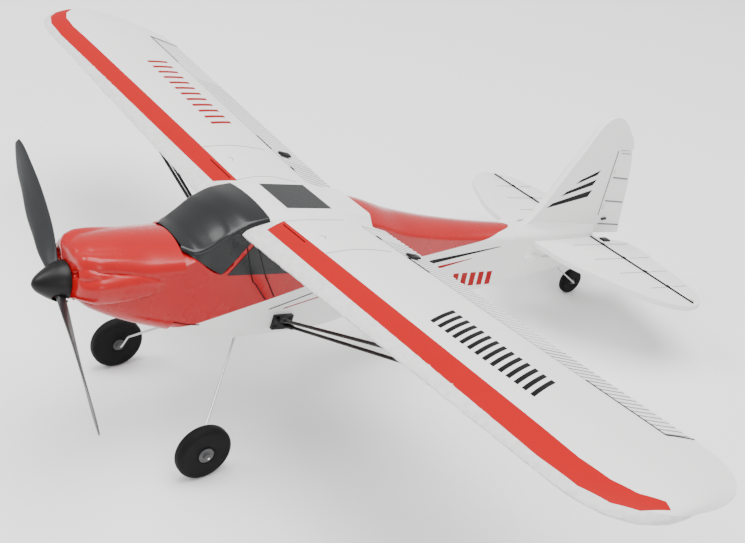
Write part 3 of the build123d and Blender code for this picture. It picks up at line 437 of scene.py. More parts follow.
# Dark red painted shade inside the slots on the nose and across the wing stripes.
RED_PAINTED_SHADE = surface_material("red_painted_shade", (0.07, 0.0, 0.0), 0.6, grain_mm=1.0, specular=0.1)
DARK_GLASS = surface_material("dark_glazing", (0.012, 0.013, 0.014), 0.24, coat=0.1, bump=0.04, grain_mm=6.0,
                              shade=0.8, specular=0.3)
# Black for print, and also the painted shade in the hinge gaps of the ailerons and elevator.
BLACK_PRINT_AND_GAP_SHADE = surface_material("black_print_and_gap_shade", (0.004, 0.004, 0.004), 0.45, grain_mm=1.0, shade=0.8,
                               specular=0.1)
RED_PRINT = surface_material("red_print", (0.33, 0.0, 0.002), 0.45, grain_mm=1.0, specular=0.12)
SEAM_LINE = surface_material("seam_line", (0.26, 0.26, 0.27), 0.7, bump=0.2, grain_mm=0.8)
BLACK_PLASTIC = surface_material("black_plastic", (0.005, 0.005, 0.005), 0.38, bump=0.15, grain_mm=0.7,
                                 shade=0.75, specular=0.25)
GREY_PLASTIC = surface_material("grey_plastic", (0.085, 0.085, 0.088), 0.42, bump=0.15, grain_mm=0.7,
                                shade=0.8, specular=0.3)
BLADE_PLASTIC = surface_material("blade_plastic", (0.024, 0.025, 0.027), 0.36, bump=0.12, grain_mm=0.6,
                                 shade=0.85, specular=0.3)
TYRE_FOAM = surface_material("tyre_foam", (0.006, 0.006, 0.006), 0.62, bump=0.4, bump_mm=0.08, grain_mm=0.9,
                             shade=0.7, cells=True, specular=0.12)
STEEL = surface_material("steel_wire", (0.62, 0.62, 0.64), 0.27, metallic=1.0, bump=0.2, bump_mm=0.02,
                         grain_mm=0.5)
BRASS = surface_material("brass", (0.75, 0.53, 0.22), 0.25, metallic=1.0, bump=0.1, grain_mm=0.5)
MOTOR_CAN = surface_material("motor_can", (0.55, 0.55, 0.57), 0.3, metallic=1.0, bump=0.1, grain_mm=0.6)
NYLON = surface_material("nylon", (0.76, 0.76, 0.70), 0.4, bump=0.1, grain_mm=0.6)
CARBON = surface_material("carbon_rod", (0.005, 0.005, 0.005), 0.4, bump=0.25, bump_mm=0.03, grain_mm=0.5,
                          shade=0.7, specular=0.2)
SERVO_BLUE = surface_material("servo_case", (0.03, 0.06, 0.16), 0.3, bump=0.1, grain_mm=0.7)
BATTERY_WRAP = surface_material("battery_wrap", (0.06, 0.065, 0.075), 0.25, coat=0.4, bump=0.2, bump_mm=0.1,
                                grain_mm=4.0)
BOARD_GREEN = surface_material("circuit_board", (0.02, 0.13, 0.06), 0.35, bump=0.3, grain_mm=0.9, cells=True)
PLYWOOD = surface_material("plywood", (0.55, 0.38, 0.2), 0.6, bump=0.3, grain_mm=0.9, patch_mm=3.0,
                           shade=0.75)


# ---------------------------------------------------------------- fuselage
def hull_half(y):
    """Half section of the hull at y, with the fillet that runs up into the fin."""
    half, crown, drop, keel, corner = station_value(HULL, y)
    shoulder = 0.6 if y < ROOF_STEP else 1.4
    path = half_section(half, crown, drop, keel, corner, min(shoulder, half * 0.3))
    lift = FILLET_RISE * smooth_step(FILLET_START, FILLET_FULL, y)
    if lift > 0:
        path = [
            (x, z + lift * (1 - smooth_step(FILLET_IN, FILLET_OUT, x)) ** 2 * (x < half)) for x, z in path
        ]
    return path


def hull_x(y, z):
    """Distance of the hull's side from the centre plane at y, z."""
    side = hull_half(y)[CROWN_POINTS:]
    for (x0, z0), (x1, z1) in zip(side, side[1:]):
        if z1 <= z <= z0:
            return mix(x0, x1, (z0 - z) / max(z0 - z1, 1e-6))
    return side[0][0] if z > side[0][1] else 0.0


def full_ring(half, y):
    """Closed ring at y from the (x, z) points of its port half."""
    port = [Vector((x, y, z)) for x, z in half]
    return port + [Vector((-x, y, z)) for x, z in reversed(half[1:-1])]


ABOVE_COUNT, BELOW_COUNT = 64, 40


def hull_row(y):
    """Ring at y, sampled so that one point on each side lies on the paint line."""
    path = hull_half(y)
    edge = line_value(RED_EDGE, y)
    cut = 1
    if y > RED_END:
        above, below = [path[0], path[0]], path
    else:
        while cut < len(path) - 1 and path[cut][1] > edge:
            cut += 1
        (x0, z0), (x1, z1) = path[cut - 1], path[cut]
        share = min(max((z0 - edge) / max(z0 - z1, 1e-6), 0.0), 1.0)
        knee = (mix(x0, x1, share), mix(z0, z1, share))
        above, below = path[:cut] + [knee], [knee] + path[cut:]
    return full_ring(resample(above, ABOVE_COUNT)[:-1] + resample(below, BELOW_COUNT), y)


def hull_slot(row, column):
    """Red above the paint line, white below it."""
    width = 2 * (ABOVE_COUNT + BELOW_COUNT - 2)
    column = min(column, width - 1 - column)
    return 1 if column < ABOVE_COUNT - 1 else 0


# Rings are close together at the nose joint, and there is one at each sharp station
hull_ys = sorted(
    {-38.0 + 0.5 * k for k in range(20)}
    | {-28.0 + 2.0 * k for k in range(45)}
    | {62.0 + 2.0 * k for k in range(97)}
    | {-19.2, -4.5, 61.5, 61.6}
)
hull_skin = make_object("hull_skin", grid_bmesh([hull_row(y) for y in hull_ys], split=hull_slot))
gear_slot = cutter_box((0, 3.0, -63.5), (26.6, 12.6, 7.0))
tail_slot = cutter_box((2.2, 233.2, -37.4), (1.5, 4.0, 6.0))
paint(hull_skin, [WHITE_FOAM, RED_GLOSS])
carve(hull_skin, [gear_slot, tail_slot])
add_piece(hull_skin, "airframe", nodes=["fuselage_left", "fuselage_right"])


def sheet_points(corners, columns, rows):
    """Grid of (y, z) points between four (y, z) corners."""
    (y0, z0), (y1, z1), (y2, z2), (y3, z3) = corners
    grid = []
    for s in (i / columns for i in range(columns + 1)):
        line = []
        for t in (k / rows for k in range(rows + 1)):
            y = mix(mix(y0, y1, s), mix(y3, y2, s), t)
            z = mix(mix(z0, z1, s), mix(z3, z2, s), t)
            line.append((y, z))
        grid.append(line)
    return grid


def plate_bmesh(grid, depth):
    """Closed plate: the grid of points on top, the same moved by depth below."""
    bm = bmesh.new()
    top = [[bm.verts.new(p) for p in line] for line in grid]
    low = [[bm.verts.new(p + depth) for p in line] for line in grid]
    for i in range(len(grid) - 1):
        for k in range(len(grid[0]) - 1):
            bm.faces.new((top[i][k], top[i + 1][k], top[i + 1][k + 1], top[i][k + 1]))
            bm.faces.new((low[i][k], low[i][k + 1], low[i + 1][k + 1], low[i + 1][k]))
    rim = [(i, 0) for i in range(len(grid))]
    rim += [(len(grid) - 1, k) for k in range(1, len(grid[0]))]
    rim += [(i, len(grid[0]) - 1) for i in range(len(grid) - 2, -1, -1)]
    rim += [(0, k) for k in range(len(grid[0]) - 2, 0, -1)]
    for (i, k), (m, n) in zip(rim, rim[1:] + rim[:1]):
        bm.faces.new((top[i][k], low[i][k], low[m][n], top[m][n]))
    bmesh.ops.remove_doubles(bm, verts=bm.verts, dist=1e-5)
    bmesh.ops.recalc_face_normals(bm, faces=bm.faces)
    return bm


def side_sheet(corners, columns, rows, lift=0.06, thickness=0.1):
    """Thin plate on the port side of the hull between four (y, z) corners."""
    grid = [
        [Vector((hull_x(y, z) + lift, y, z)) for y, z in line]
        for line in sheet_points(corners, columns, rows)
    ]
    return plate_bmesh(grid, Vector((-thickness, 0, 0)))


def side_trace(points, radius, lift):
    """Thin raised line along (y, z) points on the port side of the hull."""
    fine = resample(points, 60)
    return tube_bmesh([(hull_x(y, z) + lift, y, z) for y, z in fine], radius, 8)


WINDOW = [(-15.9, -27.6), (30.6, -27.6), (41.0, -8.6), (-3.2, -8.6)]
window_sheet = side_sheet(WINDOW, 40, 16, lift=0.28, thickness=1.0)
add_pair("side_glazing", [window_sheet], "airframe", DARK_GLASS, ["side_windows"])
DOOR_FRONT = [(-9.6, -12.6), (-4.7, -24.2), (-2.6, -28.4), (-1.0, -31.7), (0.6, -32.6), (8.7, -41.5)]
DOOR_REAR = [(-3.4, -13.4), (4.8, -28.2), (13.4, -40.2)]
door_lines = [side_trace(line, 0.26, 0.2) for line in (DOOR_FRONT, DOOR_REAR)]
add_pair("door_lines", door_lines, "airframe", BLACK_PRINT_AND_GAP_SHADE)

# Printed lines along the side: a black one that swells into a wedge aft, and a red one below it
black_flash = [
    side_sheet([(12.7, -47.5), (41.2, -38.5), (41.2, -37.9), (12.7, -46.9)], 20, 1),
    side_sheet([(41.2, -38.5), (115.9, -28.6), (115.9, -26.2), (41.2, -37.9)], 40, 2),
    side_sheet([(115.9, -28.6), (167.8, -21.2), (167.8, -20.8), (115.9, -26.2)], 30, 2),
]
red_flash = [
    side_sheet([(21.3, -47.6), (45.9, -41.4), (45.9, -40.8), (21.3, -47.0)], 20, 1),
    side_sheet([(45.9, -41.4), (124.8, -31.6), (124.8, -30.0), (45.9, -40.8)], 40, 1),
    side_sheet([(124.8, -31.6), (147.0, -27.4), (147.0, -27.1), (124.8, -30.0)], 16, 1),
]
BAR_WIDTH, BAR_HEIGHT, BAR_SLANT = 4.4, 8.6, 1.4
for k in range(5):
    y = 137.5 + 7.0 * k
    top = -36.2 - 0.1 * k
    low = top - BAR_HEIGHT
    bar = [(y, low), (y + BAR_WIDTH, low), (y + BAR_WIDTH - BAR_SLANT, top), (y - BAR_SLANT, top)]
    red_flash.append(side_sheet(bar, 4, 8))
add_pair("side_flash_black", black_flash, "airframe", BLACK_PRINT_AND_GAP_SHADE)
add_pair("side_flash_red", red_flash, "airframe", RED_PRINT)

# ---------------------------------------------------------------- nose
CHEEK_TIP, CHEEK_SWELL, CHEEK_HEIGHT = -46.5, 4.0, 6.4
BROW_SWELL, BROW_REACH, BROW_DIP = 2.6, 6.5, 1.6


def cowl_half(y):
    """Half section of the nose with its brow lobe, the dip under the brow and the cheek."""
    half, crown, drop, keel, corner = station_value(COWL, y)
    path = resample(half_section(half, crown, drop, keel, corner, 2.2), 120)
    run = (y - COWL_FRONT) / (CHEEK_TIP - COWL_FRONT)
    out = []
    for x, z in path:
        if 0 <= run < 1:
            cheek_z = mix(-33.6, -31.4, run)
            across = (z - cheek_z) / (CHEEK_HEIGHT * math.sqrt(1 - run**1.7))
            if abs(across) < 1 and x > half * 0.6:
                x += CHEEK_SWELL * (1 - run**2) * (1 - across * across) ** 0.4
        brow = 1 - smooth_step(-79, -52, y)
        knee = math.hypot(x - (half - 3.0), z - (crown - 2.0))
        swell = BROW_SWELL * brow * (1 - smooth_step(0, BROW_REACH, knee))
        dip = BROW_DIP * brow * math.exp(-((z - (crown - 8.0)) / 1.6) ** 2) * (x > half * 0.7)
        out.append((x + swell * 0.45 - dip, z + swell * 0.9))
    return out


HOLE_RADIUS, HOLE_Z, LIP_Y = 8.3, -38.4, -78.5
FRONT_BOW, INTAKE_DEPTH = 1.6, 5.0
FRONT_SHARES = (0.0, 0.15, 0.3, 0.45, 0.6, 0.75, 0.88, 1.0)
COWL_STEP, COWL_RINGS, COWL_WALL = 0.75, 57, 1.3


def front_row(ring, share):
    """Ring on the nose's front face, from the shaft hole (share 0) to the rim (share 1)."""
    bow = FRONT_BOW * (math.sin(math.pi / 2 * min(1.0, (1 - share) / 0.35)) if share > 0.65 else 1.0)
    row = []
    for point in ring:
        spoke = Vector((point.x, 0, point.z - HOLE_Z))
        inner = Vector((0, 0, HOLE_Z)) + spoke.normalized() * HOLE_RADIUS
        flat = mix(inner, Vector((point.x, 0, point.z)), share)
        intake = max(0.0, 1 - math.hypot((abs(flat.x) - 9.5) / 3.4, (flat.z + 30.5) / 2.6))
        chin = max(0.0, 1 - math.hypot(flat.x / 7.0, (flat.z + 47.0) / 2.2))
        dent = INTAKE_DEPTH * min(1.0, 1.6 * max(intake, chin))
        row.append(Vector((flat.x, COWL_FRONT - bow + dent, flat.z)))
    return row


front_ring = full_ring(cowl_half(COWL_FRONT), COWL_FRONT)
front_rows = [front_row(front_ring, share) for share in FRONT_SHARES]
lip = [Vector((p.x, LIP_Y, p.z)) for p in front_rows[0]]
cowl_ys = [COWL_FRONT + COWL_STEP * k for k in range(1, COWL_RINGS + 1)]
cowl_rows = [lip] + front_rows + [full_ring(cowl_half(y), y) for y in cowl_ys]
cowl_skin = make_object("cowl_skin", grid_bmesh(cowl_rows, ends=False))
thicken(cowl_skin, COWL_WALL)

# The hatch is the piece of the same skin that the opening leaves out
HATCH_CUT_Z, HATCH_CUT_DEPTH = -52.0, 22
hatch_skin = link_object("hatch_skin", cowl_skin.data.copy())
hatch_y = (HATCH_FRONT + HATCH_REAR) / 2
hatch_length = HATCH_REAR - HATCH_FRONT
opening = (2 * (HATCH_HALF + HATCH_GAP), hatch_length + 2 * HATCH_GAP + HINGE_ROOM, HATCH_CUT_DEPTH)
carve(cowl_skin, [cutter_box((0, hatch_y + HINGE_ROOM / 2, HATCH_CUT_Z), opening)])
lid = (2 * HATCH_HALF, hatch_length, HATCH_CUT_DEPTH)
carve(hatch_skin, [cutter_box((0, hatch_y, HATCH_CUT_Z), lid)], "INTERSECT")
add_piece(cowl_skin, "airframe", RED_GLOSS, ["nose_cowl"], angle=40)
add_piece(hatch_skin, "hatch", RED_GLOSS, ["battery_hatch"], angle=40)


def knuckle(low, high):
    """Barrel of the hatch hinge between two x values, with chamfered ends."""
    stops = (low, low + KNUCKLE_CHAMFER, high - KNUCKLE_CHAMFER, high)
    end_radius = KNUCKLE_RADIUS - KNUCKLE_CHAMFER
    path = [(x, HATCH_PIVOT_Y, HATCH_PIVOT_Z) for x in stops]
    return tube_bmesh(path, [end_radius, KNUCKLE_RADIUS, KNUCKLE_RADIUS, end_radius], 28)


cowl_knuckles = joined([knuckle(-8.3, -4.3), knuckle(4.3, 8.3)])
add_piece(make_object("cowl_knuckles", cowl_knuckles), "airframe", RED_GLOSS)
add_piece(make_object("hatch_knuckle", knuckle(-4.0, 4.0)), "hatch", RED_GLOSS)
# Painted shade in the slots on the nose's sides.
nose_slot = side_trace([(-37.9, -51.2), (-30.0, -52.8), (-24.0, -53.2)], 0.3, 0.0)
add_pair("nose_slots", [nose_slot], "airframe", RED_PAINTED_SHADE)

# ---------------------------------------------------------------- windshield and roof
# Windshield: y, half width, crown z, drop to the shoulder; then y, z along its lower edge
GLASS_FRONT, GLASS_LENGTH, GLASS_RINGS = -37.6, 37.4, 64
GLASS = [
    (-37.6, 12.0, -16.6, 1.0), (-33.0, 16.6, -15.4, 2.4), (-26.0, 18.6, -10.4, 3.4),
    (-18.0, 19.2, -3.6, 3.4), (-10.0, 19.2, 0.0, 2.6), (-0.2, 18.8, 1.4, 1.6),
]
GLASS_FOOT = [(-37.6, -18.0), (-33.0, -19.9), (-19.2, -26.8), (-4.6, -6.2), (0.0, -6.2)]
glass_rows = []
for k in range(GLASS_RINGS):
    y = GLASS_FRONT + GLASS_LENGTH * k / (GLASS_RINGS - 1)
    half, crown, drop = station_value(GLASS, y)
    foot = line_value(GLASS_FOOT, y) - 0.3
    section = half_section(half, crown, drop, foot - 12, 1.0, 1.0)[:CROWN_POINTS + SHOULDER_POINTS]
    side = resample(section + [(half + 0.5, foot)], 60)
    starboard = [Vector((-x, y, z)) for x, z in reversed(side)]
    glass_rows.append(starboard + [Vector((x, y, z)) for x, z in side[1:]])
windshield = make_object("windshield_skin", grid_bmesh(glass_rows, ring=False))
thicken(windshield, 1.0)
add_piece(windshield, "airframe", DARK_GLASS, ["windshield"], angle=24)

ROOF_TOP = [(0, 1.2), (12.0, 3.0), (38.0, 2.9), (52.0, 1.8), (61.6, 1.0)]
ROOF_LENGTH, ROOF_FLAT, ROOF_FOOT = 61.4, 13.5, -5.9
wing_top_line = curve_through(UPPER_WING[::-1], 24)


def wing_top(y):
    """Height of the wing's upper surface in the wing's own frame."""
    return line_value(wing_top_line, y)


def roof_z(x, y):
    """Height of the cabin roof, which runs into the wing's surface at the wing roots."""
    share = smooth_step(ROOF_FLAT, ROOT_X, abs(x))
    return mix(station_value(ROOF_TOP, y)[0], wing_top(y), share)


roof_rows = []
for y in (ROOF_LENGTH * k / 62 for k in range(63)):
    top = [Vector((x, y, roof_z(x, y))) for x in (ROOT_X - 0.5 * j for j in range(81))]
    roof_rows.append(top + [Vector((-ROOT_X, y, ROOF_FOOT)), Vector((ROOT_X, y, ROOF_FOOT))])
roof_skin = make_object("roof_skin", grid_bmesh(roof_rows))
add_piece(roof_skin, "airframe", WHITE_FOAM, ["cabin_roof"])
pane_xs = [mix(-13.1, 13.1, k / 26) for k in range(27)]
pane_ys = [mix(12.3, 38.0, k / 26) for k in range(27)]
roof_glass_grid = [[Vector((x, y, roof_z(x, y) + 0.22)) for y in pane_ys] for x in pane_xs]
roof_glass = make_object("roof_glazing", plate_bmesh(roof_glass_grid, Vector((0, 0, -0.7))))
add_piece(roof_glass, "airframe", DARK_GLASS, ["roof_window"])


# ---------------------------------------------------------------- wing
def wing_point(u, y, w):
    """Point at u along the port wing, y and w above the wing's own plane."""
    return Vector((ROOT_X, y, 0)) + SPAN_DIR * u + UP_DIR * w


def tip_shape(u):
    """Front, rear and depth of the section at span u."""
    share = min(max((u - TIP_START) / TIP_LENGTH, 0.0), 0.9995)
    width = (1 - share**TIP_POWER) ** (1 / TIP_POWER)
    return THICK_Y + (LEADING_Y - THICK_Y) * width, THICK_Y + (TRAILING_Y - THICK_Y) * width, width**0.8


SECTION_Z = -3.2


def fit_section(y, z, shape):
    """Point of the root section moved to a narrower one, which thins towards SECTION_Z."""
    front, rear, depth = shape
    at = front + (y - LEADING_Y) * (rear - front) / (TRAILING_Y - LEADING_Y)
    return at, (z - SECTION_Z) * depth + SECTION_Z


UPPER_LINE = curve_through(UPPER_WING, 30)
LOWER_LINE = curve_through(LOWER_WING, 30)
FRONT_CUT = HINGE_Y - 1.6
FRONT_COUNT, REAR_COUNT = 110, 26
# Crinkled foam: reach back from the leading edge at the root and at the tip, then waves per mm and
# height of its coarse and its fine wrinkles
REACH_ROOT, REACH_TIP = 8.0, 2.4
WRINKLES = ((0.42, 0.30), (1.1, 0.13))
# Column of the ring at the leading edge, half width of the crinkled band in columns up to and
# beyond the row where it narrows
EDGE_COLUMN, BAND_ROOT, BAND_TIP, BAND_ROW = FRONT_COUNT * 0.478, 12, 6, 130


def wing_row(u, notched):
    """Ring of the wing at span u: the front part, then either the hinge groove or the full tail."""
    front = [p for p in UPPER_LINE if p[0] < FRONT_CUT]
    lower_front = [p for p in LOWER_LINE if p[0] < FRONT_CUT]
    top_end = (FRONT_CUT, line_value(wing_top_line, FRONT_CUT))
    low_end = (FRONT_CUT, line_value(LOWER_LINE, FRONT_CUT))
    nose = resample([top_end] + front + lower_front[1:] + [low_end], FRONT_COUNT)
    if notched:
        tail = [low_end]
        for k in range(9):
            turn = math.radians(mix(-118, -242, k / 8))
            tail.append((HINGE_Y + GROOVE_RADIUS * math.cos(turn), HINGE_Z + GROOVE_RADIUS * math.sin(turn)))
        tail.append(top_end)
    else:
        tail = [low_end] + [p for p in LOWER_LINE if p[0] > FRONT_CUT]
        tail += [p for p in UPPER_LINE if p[0] > FRONT_CUT] + [top_end]
    ring = nose + resample(tail, REAR_COUNT)[1:-1]
    shape = tip_shape(u)
    row = []
    for y, z in ring:
        y, z = fit_section(y, z, shape)
        point = wing_point(u, y, z)
        reach = mix(REACH_ROOT, REACH_TIP, smooth_step(130, 200, u))
        crinkle = 1 - smooth_step(reach * 0.5, reach, y - shape[0]) if shape[2] > 0.2 else 0.0
        if crinkle > 0:
            shake = sum(noise.noise(point * waves) * height for waves, height in WRINKLES)
            point += UP_DIR * shake * crinkle + Vector((0, shake * crinkle * 0.6, 0))
        row.append(point)
    return row


def wing_split(row, column):
    """Crinkled foam with painted shade in its dimples round the leading edge, plain foam elsewhere."""
    return 1 if abs(column - EDGE_COLUMN) < (BAND_ROOT if row < BAND_ROW else BAND_TIP) else 0


NOTCH_START, NOTCH_END = AILERON_INNER - 0.6, AILERON_OUTER + 0.6
NOTCH_ROWS, TIP_ROWS = 170, 60
tip_run = TIP_START + TIP_LENGTH - NOTCH_END
wing_rows = [wing_row(0.15, False), wing_row(NOTCH_START, False)]
wing_rows += [wing_row(mix(NOTCH_START, NOTCH_END, k / NOTCH_ROWS), True) for k in range(NOTCH_ROWS + 1)]
wing_rows.append(wing_row(NOTCH_END, False))
for k in range(1, TIP_ROWS + 1):
    wing_rows.append(wing_row(NOTCH_END + tip_run * math.sin(math.pi / 2 * k / TIP_ROWS), False))

# Openings under the wing, as offset of the middle from the servo's hub and size: the servo's
# pocket, then the slot for its arm and rod
SERVO_HUB = (34.6, 30.0, -4.0)
SERVO_OPENINGS = (((-5.5, -4.0, -2.95), (11.4, 20.6, 12.5)), ((1.5, 1.5, -4.0), (6.4, 18.0, 13.4)))
wing_frame = Matrix.Translation((ROOT_X, 0, 0)) @ Matrix.Rotation(-DIHEDRAL, 4, "Y")
flip = Matrix.Diagonal((-1, 1, 1, 1))
port_wing = grid_bmesh(wing_rows, split=wing_split)
starboard_wing = mirrored(port_wing)
for bm, side, turn in ((port_wing, "left", Matrix.Identity(4)), (starboard_wing, "right", flip)):
    skin = make_object("wing_skin_" + side, bm)
    cutters = []
    for offset, size in SERVO_OPENINGS:
        centre = [hub + shift for hub, shift in zip(SERVO_HUB, offset)]
        cutters.append(cutter_box(centre, size, turn @ wing_frame))
    paint(skin, [WHITE_FOAM, EDGE_FOAM_AND_SHADE])
    carve(skin, cutters)
    add_piece(skin, "airframe", nodes=["wing_" + side], angle=40)


def wing_top_point(x, y, lift):
    """Point on the port wing's upper surface above x, y."""
    u = (x - ROOT_X) / math.cos(DIHEDRAL)
    shape = tip_shape(u)
    front, rear = shape[:2]
    root_y = LEADING_Y + (y - front) * (TRAILING_Y - LEADING_Y) / max(rear - front, 1e-3)
    z = fit_section(root_y, wing_top(min(max(root_y, LEADING_Y), TRAILING_Y)), shape)[1]
    return wing_point(u, y, z + lift)


def top_sheet(front, rear, columns, rows, lift=0.07, thickness=0.12):
    """Printed sheet on the wing between two edges, each a list of (x, y) points."""
    front_line = resample(front, columns + 1)
    rear_line = resample(rear, columns + 1)
    shares = [k / rows for k in range(rows + 1)]
    grid = [
        [wing_top_point(mix(xa, xb, t), mix(ya, yb, t), lift) for t in shares]
        for (xa, ya), (xb, yb) in zip(front_line, rear_line)
    ]
    return plate_bmesh(grid, UP_DIR * -thickness)


STRIPE_FRONT = [(25.4, -5.2), (60, -6.4), (206, -10.9), (224, -10.2), (235, -6.6), (242, -0.6), (246.6, 9.0)]
STRIPE_REAR = [(21.6, 5.7), (60, 4.6), (195, 0.1), (215, -0.9), (228, 0.2), (237, 3.6), (243.6, 9.6)]
stripe = top_sheet(STRIPE_FRONT, STRIPE_REAR, 240, 16)
add_pair("wing_stripes", [stripe], "airframe", RED_FILM)


def top_trace(points, radius, count=60):
    """Thin raised line along (x, y) points on the port wing."""
    fine = resample(points, count)
    return tube_bmesh([wing_top_point(x, y, 0.05) for x, y in fine], radius, 8)


seams = [
    top_trace([(57.0, 5.0), (57.0, 42.0)], 0.16),
    top_trace([(40.6, 12.8), (42.6, 14.6), (44.6, 12.8)], 0.16),
    top_trace([(22.2, 5.0), (23.6, 16.0), (24.0, 27.0), (21.4, 40.0)], 0.14),
]
add_pair("wing_seams", seams, "airframe", SEAM_LINE)
# Painted shade in the slots across the wing stripes.
stripe_slot = top_trace([(25.0, 3.4), (44.0, 2.7)], 0.28)
add_pair("stripe_slots", [stripe_slot], "airframe", RED_PAINTED_SHADE)


def slanted_bars(count, pitch, front, rear, width, rows):
    """Printed bars in place of lettering. front and rear are the first bar's inner corners."""
    bars = []
    for shift in (pitch * k for k in range(count)):
        edges = [[(x + shift, y), (x + shift + width, y)] for x, y in (front, rear)]
        bars.append(top_sheet(*edges, 4, rows))
    return bars


black_bars = joined(slanted_bars(14, 4.4, (122.2, 10.4), (116.6, 27.6), 2.2, 14))
add_piece(make_object("wing_bars_black", black_bars), "airframe", BLACK_PRINT_AND_GAP_SHADE)
red_bars = mirrored(joined(slanted_bars(12, 7.2, (82.0, 23.0), (86.4, 38.0), 2.6, 12)))
add_piece(make_object("wing_bars_red", red_bars), "airframe", RED_PRINT)

# ---------------------------------------------------------------- ailerons
RIB_PITCH, RIB_SHARPNESS, VALLEY_SHARE = 3.24, 0.7, 0.13
SURFACE_RADIUS = 1.5
FLAP_CHORD, FLAP_LOW, FLAP_TOP = 19.0, -3.75, -2.85
VALLEY_LOW, VALLEY_TOP = 0.35, 0.45
NOSE_SIDES, CHORD_STEPS = 8, 12
AILERON_STEPS = 696


def valley_split(row, column):
    """Painted shade in the narrow valleys between ribs, plain foam on the ribs."""
    u = mix(AILERON_INNER, AILERON_OUTER, (row + 0.5) / AILERON_STEPS)
    phase = (u / RIB_PITCH) % 1.0
    return 1 if column > NOSE_SIDES + 1 and min(phase, 1 - phase) < VALLEY_SHARE else 0


def aileron_row(u):
    """Ring at span u: a round nose on the hinge line, then the ribbed lower and upper faces."""
    valley = 1 - abs(math.sin(math.pi * u / RIB_PITCH)) ** RIB_SHARPNESS
    ring = []
    for k in range(NOSE_SIDES + 1):
        turn = math.radians(mix(90, 270, k / NOSE_SIDES))
        ring.append((SURFACE_RADIUS * math.cos(turn), SURFACE_RADIUS * math.sin(turn)))
    for t in (k / CHORD_STEPS for k in range(1, CHORD_STEPS + 1)):
        low = mix(-SURFACE_RADIUS, FLAP_LOW, t)
        ring.append((FLAP_CHORD * t, low + VALLEY_LOW * valley * smooth_step(0, 0.12, t)))
    for t in (1 - k / CHORD_STEPS for k in range(CHORD_STEPS)):
        top = mix(SURFACE_RADIUS, FLAP_TOP, t)
        ring.append((FLAP_CHORD * t, top - VALLEY_TOP * valley * smooth_step(0, 0.12, t)))
    return [wing_point(u, HINGE_Y + y, HINGE_Z + z) for y, z in ring]


# Ailerons: foam ribs with painted shade in the valleys between them.
aileron_us = [mix(AILERON_INNER, AILERON_OUTER, k / AILERON_STEPS) for k in range(AILERON_STEPS + 1)]
port_aileron = grid_bmesh([aileron_row(u) for u in aileron_us], split=valley_split)
starboard_aileron = mirrored(port_aileron)
for bm, side in ((port_aileron, "left"), (starboard_aileron, "right")):
    flap = make_object("aileron_skin_" + side, bm)
    paint(flap, [RIB_FOAM, RIB_PAINTED_SHADE])
    add_piece(flap, "aileron_" + side, nodes=["aileron_" + side], angle=50)

# Hinge gaps: a fine line all along, and painted shade where the gap is open: at its outer end and in two
# short stretches further in
GAP_Y = 49.2
gap_fine = [top_trace([(25.0, GAP_Y), (173.5, GAP_Y)], 0.16, 200)]
gap_dark = [
    top_trace([(173.5, GAP_Y), (213.1, GAP_Y), (213.3, 69.2)], 0.3, 160),
    top_trace([(61.0, GAP_Y), (77.0, GAP_Y)], 0.4, 40),
    top_trace([(37.0, GAP_Y), (41.0, GAP_Y)], 0.5, 20),
]
add_pair("hinge_gap_fine", gap_fine, "airframe", SEAM_LINE)
add_pair("hinge_gap_shade", gap_dark, "airframe", BLACK_PRINT_AND_GAP_SHADE)


# ---------------------------------------------------------------- pieces that keep the CAD outline
def softened(name, node, width, body, material):
    """Copy of a CAD node with its edges rounded over by width, in millimetres."""
    bm = bmesh.new()
    bm.from_mesh(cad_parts[node].data)
    bmesh.ops.remove_doubles(bm, verts=bm.verts, dist=1e-6)
    bmesh.ops.dissolve_limit(bm, angle_limit=math.radians(1.5), verts=bm.verts, edges=bm.edges)
    obj = mesh_object(name, bm)
    round_over = obj.modifiers.new("edges", "BEVEL")
    round_over.width = width / 1000
    round_over.segments = 3
    round_over.limit_method = "ANGLE"
    round_over.angle_limit = math.radians(50)
    apply_modifiers(obj)
    return add_piece(obj, body, material, [node], angle=30)


softened("fin_skin", "fin", 0.9, "airframe", WHITE_FOAM)
softened("stabilizer_skin", "stabilizer", 0.8, "airframe", WHITE_FOAM)
softened("elevator_skin", "elevator", 0.7, "elevator", WHITE_FOAM)
softened("rudder_skin", "rudder", 0.7, "rudder", WHITE_FOAM)
softened("strut_bracket_skin", "strut_brackets", 0.4, "airframe", BLACK_PLASTIC)
softened("strut_socket_skin", "strut_sockets", 0.5, "airframe", BLACK_PLASTIC)
softened("gear_mount_skin", "gear_mount", 0.4, "airframe", BLACK_PLASTIC)

# ---------------------------------------------------------------- strut ends and bracket screws
STRUT_FEET = (Vector((21.6, 19.6, -52.4)), Vector((21.6, 24.6, -56.2)))
STRUT_HEADS = (wing_point(108.0, 0.0, -9.9), wing_point(131.0, 6.5, -9.3))
SCREW = [(-0.3, 0.0), (-0.3, 1.0), (0.25, 0.95), (0.45, 0.65), (0.45, 0.35), (0.2, 0.3), (0.2, 0.0)]
fittings = []
for foot, head in zip(STRUT_FEET, STRUT_HEADS):
    along = (head - foot).normalized()
    foot_path = [foot + along * d for d in (0.9, 1.2, 6.8, 7.4, 7.5)]
    head_path = [head - along * d for d in (1.6, 2.0, 7.6, 8.2, 8.3)]
    fittings.append(tube_bmesh(foot_path, [1.0, 1.35, 1.25, 1.05, 0.85], 20))
    fittings.append(tube_bmesh(head_path, [1.0, 1.3, 1.2, 1.0, 0.85], 20))
for y, z in ((17.9, -56.4), (26.0, -51.9)):
    fittings.append(lathe_bmesh(SCREW, (21.9, y, z), (1, 0, 0), 32))
add_pair("strut_fittings", fittings, "airframe", BLACK_PLASTIC)

